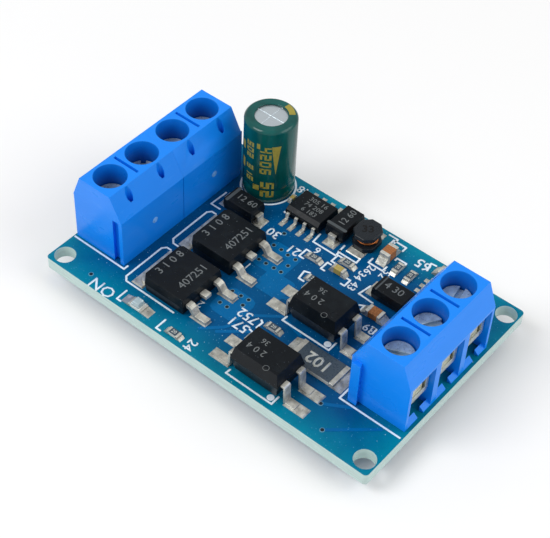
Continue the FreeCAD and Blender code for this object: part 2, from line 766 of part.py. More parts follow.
def gull_wing(start, top, run, fall, reach, thickness, side):
    """Side outline of a lead that leaves a package level, falls and ends in a flat foot."""
    drop = top - thickness
    slope = root(fall * fall + drop * drop)
    setback = thickness * (slope - fall) / drop
    outline = [
        (start, top), (start + run, top), (start + run + fall, thickness),
        (start + reach, thickness), (start + reach, zero),
        (start + run + fall - setback, zero), (start + run - setback, drop), (start, drop),
    ]
    return [(u * side, v) for u, v in outline]


def bend_edges(outline, wanted_corners):
    """The values of the corners of a lead's side outline that are bends."""
    return [(outline[i][0].value, outline[i][1].value) for i in wanted_corners]


def lead_row(name, x, y, turn, wings, axes, width, bend, pitch, count, solids=()):
    """Rows of gull-wing leads on both sides of a package, with a flat on every outer bend."""
    body = new_body(name, x, y, film_top, turn)
    plane = "XZ_Plane" if axes == (0, 2) else "YZ_Plane"
    row_axis = "Y_Axis" if axes == (0, 2) else "X_Axis"
    shift = pitch * ((count - 1) / -2.0)
    lift = -shift if plane == "XZ_Plane" else shift
    wing_pad = pad(body, draw(body, name + "_wings", plane, wings, lift=lift), width, both_ways=True)
    repeat(body, [wing_pad], row_axis, pitch, count)
    for index, (loop, thickness) in enumerate(solids):
        pad(body, draw(body, "%s_plate_%d" % (name, index), "XY_Plane", [loop]), thickness)
    if bend is not None:
        outer = [spot for wing in wings for spot in bend_edges(wing, (1, 5))]
        dress(body, "Chamfer", bend, lambda edge: runs_through(edge, outer, axes))
    return body


def make_mosfet(number, y):
    """A power transistor: moulded body, solder tab, two formed leads and a cut middle lead."""
    name = "mosfet_%d" % number
    half_x = mosfet_length / 2
    half_y = mosfet_width / 2
    body = new_body(name + "_body", mosfet_x, y, film_top)
    outline = [
        (-half_x + mosfet_corner, -half_y), (half_x, -half_y), (half_x, half_y),
        (-half_x + mosfet_corner, half_y), (-half_x, half_y - mosfet_corner),
        (-half_x, -half_y + mosfet_corner),
    ]
    moulded_block(body, body.Name, outline, zero, mosfet_parting, mosfet_height, package_draft)
    half_tab = mosfet_tab_width / 2
    tab_inner = -half_x + mosfet_tab_cover
    recess = draw(body, name + "_recess", "XY_Plane", [
        rectangle(-half_x - mosfet_corner, tab_inner, -half_tab, half_tab)])
    pocket(body, recess, mosfet_lead_thickness, reverse=True)
    mark = draw(body, name + "_mark", "XY_Plane", [
        octagon(zero, zero, ejector_mark_radius)], lift=mosfet_height)
    pocket(body, mark, ejector_mark_depth)
    nodes.append(body)

    lead_top = mosfet_parting + mosfet_lead_thickness / 2
    wing = gull_wing(
        half_x, lead_top, mosfet_lead_run, mosfet_lead_fall, mosfet_lead_reach,
        mosfet_lead_thickness, 1)
    tab_end = -half_x - mosfet_tab_length
    tab = [
        (tab_end + mosfet_corner, -half_tab), (tab_inner, -half_tab), (tab_inner, half_tab),
        (tab_end + mosfet_corner, half_tab), (tab_end, half_tab - mosfet_corner),
        (tab_end, -half_tab + mosfet_corner),
    ]
    frame = lead_row(
        name + "_lead_frame", mosfet_x, y, 0, [wing], (0, 2), mosfet_lead_width, mosfet_bend,
        mosfet_lead_spacing, 2, [(tab, mosfet_lead_thickness)])
    stub = draw(frame, name + "_stub", "XZ_Plane", [
        rectangle(half_x, half_x + mosfet_stub_length, lead_top - mosfet_lead_thickness, lead_top)])
    pad(frame, stub, mosfet_lead_width, both_ways=True)
    nodes.append(frame)


def make_diode(number, x, y, turn):
    """A two-lead diode whose strips fold down its ends and in under its body."""
    name = "diode_%d" % number
    half_x = diode_length / 2
    half_y = diode_width / 2
    body = new_body(name + "_body", x, y, film_top, turn)
    moulded_block(
        body, body.Name, rectangle(-half_x, half_x, -half_y, half_y), diode_underside,
        diode_parting, diode_height, package_draft)
    nodes.append(body)
    leads = new_body(name + "_leads", x, y, film_top, turn)
    top = diode_parting + diode_lead_thickness / 2
    under = top - diode_lead_thickness
    inner = diode_lead_reach - diode_lead_thickness
    strip = [
        (half_x, top), (diode_lead_reach, top), (diode_lead_reach, zero), (diode_foot_inset, zero),
        (diode_foot_inset, diode_lead_thickness), (inner, diode_lead_thickness),
        (inner, under), (half_x, under),
    ]
    strips = [[(u * side, v) for u, v in strip] for side in (-1, 1)]
    pad(leads, draw(leads, name + "_strips", "XZ_Plane", strips), diode_lead_width, both_ways=True)
    nodes.append(leads)


def make_optocoupler(number, y):
    """A four-pin optocoupler that stands on formed leads."""
    name = "optocoupler_%d" % number
    half_x = opto_length / 2
    half_y = opto_width / 2
    body = new_body(name + "_body", opto_x, y, film_top)
    moulded_block(
        body, body.Name, rectangle(-half_x, half_x, -half_y, half_y), opto_underside,
        opto_parting, opto_height, opto_draft)
    mark = draw(body, name + "_mark", "XY_Plane", [
        octagon(half_x - opto_mark_inset, -half_y + opto_mark_inset, opto_mark_radius)], lift=opto_height)
    pocket(body, mark, ejector_mark_depth)
    nodes.append(body)
    wings = [gull_wing(
        half_x, opto_parting + opto_lead_thickness / 2, opto_lead_run, opto_lead_fall,
        opto_lead_reach, opto_lead_thickness, side) for side in (-1, 1)]
    nodes.append(lead_row(
        name + "_leads", opto_x, y, 0, wings, (0, 2), opto_lead_width, opto_bend, opto_pin_pitch, 2))


def make_regulator():
    """The eight-pin switching regulator, with a bevel along the side of its first pins."""
    half_x = regulator_length / 2
    half_y = regulator_width / 2
    body = new_body("regulator_body", regulator_x, regulator_y, film_top)
    moulded_block(
        body, body.Name, rectangle(-half_x, half_x, -half_y, half_y), regulator_underside,
        regulator_parting, regulator_height, package_draft)
    top = regulator_height.value

    def front_top(edge):
        ends = [vertex.Point for vertex in edge.Vertexes]
        return all(near(end.z, top) and end.y < 0 for end in ends)

    dress(body, "Chamfer", regulator_bevel, front_top)
    nodes.append(body)
    wings = [gull_wing(
        half_y, regulator_parting + regulator_lead_thickness / 2, regulator_lead_run,
        regulator_lead_fall, regulator_lead_reach, regulator_lead_thickness, side) for side in (-1, 1)]
    nodes.append(lead_row(
        "regulator_leads", regulator_x, regulator_y, 0, wings, (1, 2), regulator_lead_width,
        None, regulator_pitch, 4))


def make_six_pin_chip():
    """The small chip whose pads show beside the signal terminals."""
    half_x = chip_length / 2
    half_y = chip_width / 2
    body = new_body("six_pin_chip_body", chip_x, chip_y, film_top)
    moulded_block(
        body, body.Name, rectangle(-half_x, half_x, -half_y, half_y), chip_underside,
        chip_parting, chip_height, package_draft)
    nodes.append(body)
    wings = [gull_wing(
        half_x, chip_parting + chip_lead_thickness / 2, chip_lead_run, chip_lead_fall,
        chip_lead_reach, chip_lead_thickness, side) for side in (-1, 1)]
    nodes.append(lead_row(
        "six_pin_chip_leads", chip_x, chip_y, 0, wings, (0, 2), chip_lead_width, None,
        chip_pitch, 3))


def make_inductor():
    """A drum-core inductor: ferrite drum, copper winding and two plated feet."""
    half_x = inductor_width / 2
    half_y = inductor_length / 2
    flange = cut_corner_rectangle(half_x, half_y, inductor_corner)
    core = new_body("inductor_core", inductor_x, inductor_y, film_top)
    base_top = inductor_plate_thickness + inductor_base_thickness
    cap_bottom = inductor_height - inductor_cap_thickness
    pad(core, draw(core, "inductor_base", "XY_Plane", [flange], lift=inductor_plate_thickness),
        inductor_base_thickness)
    pad(core, draw(core, "inductor_hub", "XY_Plane", [octagon(zero, zero, inductor_hub_radius)],
                   lift=inductor_plate_thickness), cap_bottom - inductor_plate_thickness)
    pad(core, draw(core, "inductor_cap", "XY_Plane", [flange], lift=cap_bottom), inductor_cap_thickness)
    top = inductor_height.value
    dress(core, "Chamfer", inductor_rim, lambda edge: all(near(v.Point.z, top) for v in edge.Vertexes))
    nodes.append(core)
    winding = new_body("inductor_winding", inductor_x, inductor_y, film_top)
    ring = draw(winding, "inductor_ring", "XY_Plane",
                [octagon(zero, zero, inductor_hub_radius + seat_play)],
                [(zero, zero, inductor_winding_radius)], lift=base_top)
    pad(winding, ring, cap_bottom - base_top)
    nodes.append(winding)
    feet = new_body("inductor_feet", inductor_x, inductor_y, film_top)
    half_foot = inductor_plate_width / 2
    plates = [rectangle(-half_foot, half_foot, inductor_plate_inset, half_y),
              rectangle(-half_foot, half_foot, -half_y, -inductor_plate_inset)]
    pad(feet, draw(feet, "inductor_plates", "XY_Plane", plates), inductor_plate_thickness)
    nodes.append(feet)


def make_capacitor():
    """The electrolytic capacitor: can, shrunk sleeve, rubber seal and two wire leads."""
    inner_radius = capacitor_radius - capacitor_sleeve_wall
    can_radius = inner_radius - capacitor_sleeve_play
    can_top = capacitor_height - capacitor_sleeve_wall - capacitor_sleeve_play
    seal_top = capacitor_underside + capacitor_seal_height
    can = new_body("capacitor_can", capacitor_x, capacitor_y, board_top)
    pad(can, draw(can, "capacitor_can_disc", "XY_Plane", circles=[(zero, zero, can_radius)],
                  lift=seal_top), can_top - seal_top)
    reach = capacitor_vent_radius
    half = capacitor_score_width / 2
    score = draw(can, "capacitor_score", "XY_Plane", [[
        (-reach, -half), (-half, -half), (-half, -reach), (half, -reach), (half, -half), (reach, -half),
        (reach, half), (half, half), (half, reach), (-half, reach), (-half, half), (-reach, half),
    ]], lift=can_top)
    pocket(can, score, capacitor_score_depth)
    nodes.append(can)

    sleeve = new_body("capacitor_sleeve", capacitor_x, capacitor_y, board_top)
    groove_low = capacitor_groove_height - capacitor_groove_width / 2
    groove_high = capacitor_groove_height + capacitor_groove_width / 2
    sleeve_half = [
        (inner_radius, capacitor_underside), (capacitor_radius, capacitor_underside),
        (capacitor_radius, groove_low),
        (capacitor_radius - capacitor_groove_depth, capacitor_groove_height),
        (capacitor_radius, groove_high), (capacitor_radius, capacitor_height - capacitor_rim),
        (capacitor_radius - capacitor_rim, capacitor_height), (capacitor_vent_radius, capacitor_height),
        (capacitor_vent_radius, capacitor_height - capacitor_sleeve_wall),
        (inner_radius, capacitor_height - capacitor_sleeve_wall),
    ]
    revolve(sleeve, draw(sleeve, "capacitor_sleeve_half", "XZ_Plane", [sleeve_half]))
    nodes.append(sleeve)

    seal = new_body("capacitor_seal", capacitor_x, capacitor_y, board_top)
    pad(seal, draw(seal, "capacitor_seal_disc", "XY_Plane", circles=[(zero, zero, can_radius)],
                   lift=capacitor_underside), capacitor_seal_height)
    nodes.append(seal)

    leads = new_body("capacitor_leads", capacitor_x, capacitor_y, board_top)
    tip = -board_thickness - pin_stick_out
    half_spacing = capacitor_lead_spacing / 2
    wires = [octagon(half_spacing * side, zero, capacitor_lead_radius) for side in (-1, 1)]
    pad(leads, draw(leads, "capacitor_wires", "XY_Plane", wires, lift=tip), capacitor_underside - tip)
    nodes.append(leads)


def new_box(name, x, y, z, length, width, height):
    """A box from its lowest corner."""
    box = doc.addObject("Part::Box", name)
    bind(box, "Length", length)
    bind(box, "Width", width)
    bind(box, "Height", height)
    place(box, x, y, z)
    return box


def group(name, members):
    """Several separate solids in one node."""
    compound = doc.addObject("Part::Compound", name)
    compound.Links = members
    compound.Label = name
    return compound


def end_joint(name, x, y, turn, inner, outer, top_outer, width, height, inset):
    """Solder on one pad: a block with a sloping outer face, lying outward from the part's centre."""
    wedge = doc.addObject("Part::Wedge", name)
    bind(wedge, "Xmin", inner)
    bind(wedge, "X2min", inner + inset)
    bind(wedge, "Xmax", outer)
    bind(wedge, "X2max", top_outer)
    bind(wedge, "Ymin", zero)
    bind(wedge, "Ymax", height)
    bind(wedge, "Zmin", -width / 2)
    bind(wedge, "Zmax", width / 2)
    bind(wedge, "Z2min", -width / 2 + inset)
    bind(wedge, "Z2max", width / 2 - inset)
    upright = FreeCAD.Rotation(UP, turn).multiply(FreeCAD.Rotation(ALONG_X, 90))
    wedge.Placement = FreeCAD.Placement(Vector(0, 0, 0), upright)
    bind(wedge, "Placement.Base.x", x)
    bind(wedge, "Placement.Base.y", y)
    bind(wedge, "Placement.Base.z", board_top)
    joints.append(wedge)


def lead_joint(name, x, y, turn, pad_start, pad_end, pad_width):
    """Solder round the foot of one lead."""
    end_joint(name, x, y, turn, pad_start, pad_end, pad_end - lead_joint_inset, pad_width,
              lead_joint_height, lead_joint_inset)


def fine_joint(name, x, y, turn, pad_start, pad_end, pad_width):
    """The film of solder under one fine lead."""
    end_joint(name, x, y, turn, pad_start, pad_end, pad_end, pad_width, solder_film, zero)


joints = []


class ChipPart:
    """A two-ended chip part: where it lies, how it is turned and its sizes."""

    def __init__(self, name, x, y, upright, length, width, height, cap, pad_end):
        self.name = name
        self.x = x
        self.y = y
        self.upright = upright
        self.length = length
        self.width = width
        self.height = height
        self.cap = cap
        self.pad_end = pad_end

    def box(self, label, low, high, height):
        """A box across the part, between two distances from its centre."""
        half = self.width / 2
        if self.upright:
            return new_box(label, self.x - half, self.y + low, film_top, self.width, high - low, height)
        return new_box(label, self.x + low, self.y - half, film_top, high - low, self.width, height)

    def make(self):
        """The ceramic body, its two plated ends and the solder at both."""
        end = self.length / 2
        inner = end - self.cap
        body = self.box(self.name + "_body", -inner, inner, self.height)
        caps = [self.box(self.name + "_cap_1", -end, -inner, self.height),
                self.box(self.name + "_cap_2", inner, end, self.height)]
        turn = 90 if self.upright else 0
        for number, angle in enumerate((turn, turn + 180), 1):
            end_joint("%s_joint_%d" % (self.name, number), self.x, self.y, angle, inner, self.pad_end,
                      end + chip_joint_top, self.width, self.height * 0.6, zero)
        return body, caps


def make_chip_groups():
    """The small resistors, the ceramic capacitors, the power resistor and the indicator."""
    resistors = [
        ChipPart("resistor_%d" % number, x, y, upright, resistor_length, resistor_width,
                 resistor_height, resistor_cap, resistor_pad_end)
        for number, (x, y, upright) in enumerate(small_resistor_places, 1)
    ]
    large = (large_capacitor_length, large_capacitor_width)
    ends = (large_capacitor_cap, large_capacitor_pad_end)
    capacitors = [
        ChipPart("ceramic_1", ceramic_1_x, ceramic_1_y, True, *large,
                 large_capacitor_height, *ends),
        ChipPart("ceramic_2", ceramic_2_x, ceramic_2_y, False, *large,
                 low_capacitor_height, *ends),
        ChipPart("ceramic_3", ceramic_3_x, ceramic_3_y, False, *large,
                 low_capacitor_height, *ends),
        ChipPart("ceramic_4", ceramic_4_x, ceramic_4_y, False,
                 resistor_length, resistor_width, small_capacitor_height, resistor_cap, resistor_pad_end),
        ChipPart("ceramic_5", ceramic_5_x, ceramic_5_y, True,
                 tiny_capacitor_length, tiny_capacitor_width, tiny_capacitor_width,
                 tiny_capacitor_cap, tiny_capacitor_pad_end),
    ]
    made = [part.make() for part in resistors]
    nodes.append(group("small_resistor_bodies", [body for body, caps in made]))
    nodes.append(group("small_resistor_ends", [cap for body, caps in made for cap in caps]))
    made = [part.make() for part in capacitors]
    nodes.append(group("ceramic_capacitor_bodies", [body for body, caps in made]))
    nodes.append(group("ceramic_capacitor_ends", [cap for body, caps in made for cap in caps]))
    body, caps = ChipPart(
        "power_resistor", power_resistor_x, power_resistor_y, False, power_resistor_length,
        power_resistor_width, power_resistor_height, power_resistor_cap, power_resistor_pad_end).make()
    nodes.append(body)
    nodes.append(group("power_resistor_ends", caps))
    body, caps = ChipPart(
        "led_base", led_x, led_y, False, led_length, led_width, led_base_height, led_cap,
        led_pad_end).make()
    nodes.append(body)
    nodes.append(group("led_ends", caps))
    lens = doc.addObject("Part::Wedge", "led_lens")
    half_top = led_lens_top_length / 2
    half_width = led_width / 2
    shrink = (led_lens_length - led_lens_top_length) / 2
    bind(lens, "Xmin", -led_lens_length / 2)
    bind(lens, "Xmax", led_lens_length / 2)
    bind(lens, "X2min", -half_top)
    bind(lens, "X2max", half_top)
    bind(lens, "Ymin", zero)
    bind(lens, "Ymax", led_lens_height)
    bind(lens, "Zmin", -half_width)
    bind(lens, "Zmax", half_width)
    bind(lens, "Z2min", -half_width + shrink)
    bind(lens, "Z2max", half_width - shrink)
    lens.Placement = FreeCAD.Placement(Vector(0, 0, 0), FreeCAD.Rotation(ALONG_X, 90))
    bind(lens, "Placement.Base.x", led_x)
    bind(lens, "Placement.Base.y", led_y)
    bind(lens, "Placement.Base.z", film_top + led_base_height)
    nodes.append(lens)


def make_lead_joints():
    """Solder round the feet of the packages."""
    for number, y in enumerate((mosfet_near_y, mosfet_far_y), 1):
        for side in (-0.5, 0.5):
            lead_joint("mosfet_%d_joint_%d" % (number, 1 if side < 0 else 2), mosfet_x,
                       y + mosfet_lead_spacing * side, 0, mosfet_pad_start, mosfet_pad_end,
                       mosfet_pad_width)
        lead_joint("mosfet_%d_tab_joint" % number, mosfet_x, y, 180, mosfet_length / 2,
                   mosfet_tab_pad_end, mosfet_width)
    for number, (x, y, turn) in enumerate(diode_places, 1):
        for side in (0, 180):
            lead_joint("diode_%d_joint_%d" % (number, side), x, y, turn + side, diode_foot_inset,
                       diode_pad_end, diode_pad_width)
    for number, y in enumerate((opto_near_y, opto_far_y), 1):
        for side in (-0.5, 0.5):
            for turn in (0, 180):
                lead_joint("opto_%d_joint_%d_%d" % (number, 1 if side < 0 else 2, turn), opto_x,
                           y + opto_pin_pitch * side, turn, opto_pad_start, opto_pad_end,
                           opto_pad_width)
    for step in range(4):
        x = regulator_x + regulator_pitch * (step - 1.5)
        for turn in (90, 270):
            fine_joint("regulator_joint_%d_%d" % (step + 1, turn), x, regulator_y, turn,
                       regulator_pad_start, regulator_pad_end, regulator_pad_width)
    for step in range(3):
        y = chip_y + chip_pitch * (step - 1)
        for turn in (0, 180):
            fine_joint("chip_joint_%d_%d" % (step + 1, turn), chip_x, y, turn, chip_pad_start,
                       chip_pad_end, chip_pad_width)
    for turn in (90, 270):
        end_joint("inductor_joint_%d" % turn, inductor_x, inductor_y, turn, inductor_plate_inset,
                  inductor_pad_end, inductor_pad_end - lead_joint_inset, inductor_pad_width,
                  solder_film + inductor_plate_thickness / 2, zero)


def make_pin_joints():
    """Solder round the pins on the underside of the board."""
    for number, (x, y) in enumerate(contact_pin_places() + capacitor_lead_places(), 1):
        joint = doc.addObject("Part::Wedge", "pin_joint_%d" % number)
        for low, high, reach in (("Xmin", "Xmax", pin_joint_radius), ("Zmin", "Zmax", pin_joint_radius),
                                 ("X2min", "X2max", pin_joint_radius * 0.6),
                                 ("Z2min", "Z2max", pin_joint_radius * 0.6)):
            bind(joint, low, -reach)
            bind(joint, high, reach)
        bind(joint, "Ymin", zero)
        bind(joint, "Ymax", pin_joint_height)
        joint.Placement = FreeCAD.Placement(Vector(0, 0, 0), FreeCAD.Rotation(ALONG_X, -90))
        bind(joint, "Placement.Base.x", x)
        bind(joint, "Placement.Base.y", y)
        bind(joint, "Placement.Base.z", zero)
        joints.append(joint)


def make_solder():
    """All solder in one node, cut to the leads and plated ends that it holds."""
    make_lead_joints()
    make_pin_joints()
    held = [node for node in nodes if node.Label.endswith(("_leads", "_ends", "_lead_frame", "_feet"))]
    held += [node for node in nodes if "_contact_" in node.Label]
    cut = doc.addObject("Part::Cut", "solder_joints")
    cut.Base = group("solder_blocks", joints)
    cut.Tool = group("soldered_metal", held)
    cut.Label = "solder_joints"
    nodes.append(cut)


diode_places = (
    (diode_1_x, diode_1_y, 90),
    (diode_2_x, diode_2_y, 0),
    (diode_3_x, diode_3_y, 0),
)


def main():
    """Build every sub-part, check them all and write one file for each."""
    make_board()
    for block in blocks:
        make_block(block)
    make_mosfet(1, mosfet_near_y)
    make_mosfet(2, mosfet_far_y)
    for number, (x, y, turn) in enumerate(diode_places, 1):
        make_diode(number, x, y, turn)
    make_optocoupler(1, opto_near_y)
    make_optocoupler(2, opto_far_y)
    make_regulator()
    make_six_pin_chip()
    make_inductor()
    make_capacitor()
    make_chip_groups()
    make_solder()
    doc.recompute()
    for item in doc.Objects:
        if "Invalid" in item.State or "Error" in item.State:
            raise RuntimeError("failed: %s %s" % (item.Name, item.State))
    for node in nodes:
        if node.Shape.isNull() or not node.Shape.isValid() or not node.Shape.Solids:
            raise RuntimeError("no valid solid in " + node.Label)
    for node in nodes:
        node.Shape.exportStep("parts/%s.step" % node.Label)
    print(len(nodes), "nodes")


main()
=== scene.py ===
"""Dresses the switch module: terminals, printed board, packages, wound inductor and capacitor."""

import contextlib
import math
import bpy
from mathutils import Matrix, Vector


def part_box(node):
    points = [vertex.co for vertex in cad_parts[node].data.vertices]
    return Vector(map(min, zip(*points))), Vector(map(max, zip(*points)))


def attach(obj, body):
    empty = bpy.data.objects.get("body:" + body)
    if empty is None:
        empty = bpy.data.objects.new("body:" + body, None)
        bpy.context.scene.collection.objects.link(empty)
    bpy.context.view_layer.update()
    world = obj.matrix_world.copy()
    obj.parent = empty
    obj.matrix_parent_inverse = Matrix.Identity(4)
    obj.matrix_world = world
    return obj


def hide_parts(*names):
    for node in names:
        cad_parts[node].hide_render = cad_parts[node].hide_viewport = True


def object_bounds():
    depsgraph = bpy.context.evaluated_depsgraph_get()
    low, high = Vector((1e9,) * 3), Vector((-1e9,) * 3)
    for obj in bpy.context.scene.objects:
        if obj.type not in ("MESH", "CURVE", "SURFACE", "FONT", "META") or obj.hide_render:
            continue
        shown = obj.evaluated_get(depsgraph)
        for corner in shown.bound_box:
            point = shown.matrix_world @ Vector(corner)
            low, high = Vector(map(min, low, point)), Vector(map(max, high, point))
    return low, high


bl_info = {
    "name": "Switch module",
    "version": (1, 0, 0),
    "blender": (4, 5, 0),
    "location": "3D View > Sidebar > Switch module",
    "description": "Gives a small load switch board its print, solder, windings and finishes",
    "category": "Object",
}

import bpy
from mathutils import Vector

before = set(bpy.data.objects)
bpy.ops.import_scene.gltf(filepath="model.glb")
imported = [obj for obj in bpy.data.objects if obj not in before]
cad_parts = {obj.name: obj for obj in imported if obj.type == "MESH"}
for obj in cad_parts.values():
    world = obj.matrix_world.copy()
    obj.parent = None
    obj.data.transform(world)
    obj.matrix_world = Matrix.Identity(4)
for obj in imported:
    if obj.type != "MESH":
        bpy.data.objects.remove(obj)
cad_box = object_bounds()

MM = 0.001
QUARTER = math.radians(90)
# Flat films that cross lie a hair apart, so that no two tops share a plane.
HAIR = 0.001 * MM
# Marks on packages lie this far above the face that they are printed on, and are this thick.
LIFT = 0.002 * MM
FILM = 0.006 * MM


def paint(red, green, blue):
    """A colour given by its printed levels, from 0 to 255, as the levels that light works in."""
    levels = [level / 255 for level in (red, green, blue)]
    linear = [v / 12.92 if v <= 0.04045 else ((v + 0.055) / 1.055) ** 2.4 for v in levels]
    return (*linear, 1.0)


def middle(node):
    """The middle of a node's box."""
    low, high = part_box(node)
    return (low + high) / 2


def top(node):
    """The height of a node's top."""
    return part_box(node)[1].z


# ---------------------------------------------------------------- sizes and colours


def length(name, description, default):
    """A length that a user may change."""
    return bpy.props.FloatProperty(
        name=name, description=description, default=default, min=0.0, precision=5, unit="LENGTH")


def tint(name, description, default):
    """A colour that a user may change."""
    return bpy.props.FloatVectorProperty(
        name=name, description=description, default=default, size=4, min=0.0, max=1.0,
        subtype="COLOR")


class BoardLook(bpy.types.PropertyGroup):
    """The laminate, its mask and its copper."""

    mask: tint("Mask", "Mask colour in the middle of the board", paint(0, 80, 132))
    rim: tint("Mask rim", "Mask colour near the edges, with no copper below", paint(0, 128, 154))
    laminate: tint("Laminate", "Sawn edge of the board", paint(206, 230, 226))
    copper: tint("Masked copper", "Mask colour over copper", paint(0, 104, 165))
    copper_thickness: length("Copper thickness", "How far masked copper stands up", 0.02 * MM)
    trace_width: length("Trace width", "Width of the copper tracks", 0.42 * MM)
    via_radius: length("Via radius", "Outer radius of a via's ring", 0.31 * MM)


class PrintLook(bpy.types.PropertyGroup):
    """The white print on the board."""

    ink: tint("Ink", "Colour of the printed lines and numbers", paint(226, 238, 248))
    line_width: length("Line width", "Width of a printed line", 0.23 * MM)
    number_height: length("Number size", "Type size of the part numbers", 1.5 * MM)
    film: length("Ink thickness", "Thickness of the ink", 0.012 * MM)
    can_ring: length("Capacitor ring", "Radius of the ring round the capacitor", 3.44 * MM)


class TerminalLook(bpy.types.PropertyGroup):
    """The terminal housings and their metal."""

    plastic: tint("Plastic", "Moulded housing", paint(12, 138, 252))
    # Painted shade: this darker blue is painted on the plastic deep in the screw wells, where shade
    # falls.
    well: tint("Well", "Moulded housing, deep in the screw wells", paint(2, 62, 140))
    well_radius: length("Well radius", "Radius of the screw wells", 1.93 * MM)
    pitch: length("Pitch", "Distance from pole to pole", 5.08 * MM)
    plastic_edge: length("Plastic edge", "Edge radius of the housings", 0.1 * MM)
    screw: tint("Screw", "Plated steel of the screws", paint(196, 218, 226))
    clamp: tint("Clamp", "Plating of the wire clamps", paint(214, 216, 204))
    gate_radius: length("Gate mark", "Radius of the scar where plastic was injected", 0.42 * MM)
    gate_height: length("Gate height", "Height of the scar above the housing's foot", 3.4 * MM)


class PackageLook(bpy.types.PropertyGroup):
    """The moulded packages, their leads and their print."""

    body: tint("Package", "Moulding compound", paint(13, 18, 23))
    print: tint("Package print", "Laser-marked digits", paint(108, 113, 114))
    tin: tint("Tinned lead", "Plating of the leads", paint(210, 209, 199))
    solder: tint("Solder", "Solder on the pads", paint(204, 204, 195))
    body_edge: length("Package edge", "Edge radius of a package", 0.06 * MM)
    lead_edge: length("Lead edge", "Edge radius of a lead", 0.035 * MM)


class InductorLook(bpy.types.PropertyGroup):
    """The drum inductor."""

    ferrite: tint("Ferrite", "Sintered core", paint(26, 32, 38))
    enamel: tint("Enamel", "Enamelled copper wire", paint(206, 116, 44))
    wire: length("Wire", "Diameter of the wire", 0.2 * MM)
    number: length("Number size", "Type size of the number on the core", 1.5 * MM)


class CapacitorLook(bpy.types.PropertyGroup):
    """The electrolytic capacitor."""

    sleeve: tint("Sleeve", "Shrunk sleeve", paint(4, 84, 80))
    sleeve_deep: tint("Sleeve, deep", "Sleeve colour in its darker bands", paint(0, 62, 60))
    gold: tint("Gold print", "Print on the sleeve", paint(158, 146, 62))
    print_lift: length("Print lift", "How far the print lies off the sleeve", 0.004 * MM)
    can: tint("Aluminium", "Vent disc of the can", paint(216, 226, 232))


class StageLook(bpy.types.PropertyGroup):
    """The floor, lamps and sky."""

    floor: tint("Floor", "Pale floor", paint(248, 248, 248))
    key: bpy.props.FloatProperty(
        name="Key lamp", description="Power of the large front lamp", default=0.92, min=0.0,
        unit="POWER")
    fill: bpy.props.FloatProperty(
        name="Fill lamp", description="Power of the lamp behind on the right", default=0.54,
        min=0.0, unit="POWER")
    sky: bpy.props.FloatProperty(
        name="Sky", description="Strength of the even light from all round", default=0.62, min=0.0)


# ---------------------------------------------------------------- modelling steps


def deselect():
    """Leaves edit mode and selects nothing."""
    if bpy.context.mode != "OBJECT":
        bpy.ops.object.mode_set(mode="OBJECT")
    bpy.ops.object.select_all(action="DESELECT")


def pick(piece):
    """Makes one piece the only one selected."""
    deselect()
    piece.select_set(True)
    bpy.context.view_layer.objects.active = piece
    return piece


@contextlib.contextmanager
def editing(piece):
    """Edit mode on one piece, with its whole mesh selected."""
    pick(piece)
    bpy.ops.object.mode_set(mode="EDIT")
    bpy.ops.mesh.select_all(action="SELECT")
    yield
    bpy.ops.object.mode_set(mode="OBJECT")


def settle(piece):
    """Puts a piece's place into its mesh, so that its object sits at the origin."""
    pick(piece)
    bpy.ops.object.transform_apply(location=True, rotation=True, scale=True)
    return piece


def join(name, pieces):
    """Makes one named piece of several."""
    pick(pieces[0])
    for piece in pieces:
        piece.select_set(True)
    if len(pieces) > 1:
        bpy.ops.object.join()
    joined = bpy.context.object
    joined.name = name
    joined.data.name = name
    return joined


def copy_to(piece, spot):
    """A copy of a piece with its own mesh, moved by a distance."""
    pick(piece)
    bpy.ops.object.duplicate(linked=False)
    copy = bpy.context.object
    copy.location = spot
    return settle(copy)


def shape(piece, kind, **settings):
    """Adds a modifier with its settings and applies it."""
    pick(piece)
    modifier = piece.modifiers.new(kind.lower(), kind)
    for setting, value in settings.items():
        setattr(modifier, setting, value)
    bpy.ops.object.modifier_apply(modifier=modifier.name)
    return piece


def stroke(start, end, width, height):
    """One printed stroke with rounded ends, from corner to corner."""
    deselect()
    run = Vector(end) - Vector(start)
    centre = (Vector(start) + Vector(end)) / 2
    bpy.ops.mesh.primitive_plane_add(size=1, location=(centre.x, centre.y, height),
                                     rotation=(0, 0, math.atan2(run.y, run.x)))
    line = bpy.context.object
    line.scale = (run.length + width, width, 1)
    with editing(settle(line)):
        bpy.ops.mesh.bevel(offset=width * 0.4, segments=2, affect="VERTICES")
    return line


def strokes(path, width, height):
    """A printed line through several corners, given in millimetres."""
    spots = [(x * MM, y * MM) for x, y in path]
    runs = enumerate(zip(spots, spots[1:]))
    return [stroke(a, b, width, height + step % 2 * HAIR) for step, (a, b) in runs]


def bracket(x, y, turn, reach, side, ends):
    """The corners of a printed bracket round one end of a part, in millimetres."""
    corners = [(reach - ends, side), (reach, side), (reach, -side), (reach - ends, -side)]
    c, s = round(math.cos(turn)), round(math.sin(turn))
    return [(x + u * c - v * s, y + u * s + v * c) for u, v in corners]


def lettering(words, x, y, height, size, turn, weight=0.0):
    """Flat characters about a spot, turned by some degrees. The weight thickens their strokes."""
    deselect()
    bpy.ops.object.text_add()
    label = bpy.context.object
    label.data.body = words
    label.data.size = size
    label.data.offset = weight * size
    label.data.align_x = "CENTER"
    label.data.align_y = "CENTER"
    label.data.resolution_u = 2
    bpy.ops.object.convert(target="MESH")
    label = bpy.context.object
    label.location = (x, y, height)
    label.rotation_euler = (0, 0, math.radians(turn))
    return settle(label)


def disc(x, y, height, radius, points, tilt=(0, 0, 0)):
    """A flat filled circle."""
    deselect()
    bpy.ops.mesh.primitive_circle_add(vertices=points, radius=radius, fill_type="NGON",
                                      location=(x, y, height), rotation=tilt)
    return settle(bpy.context.object)


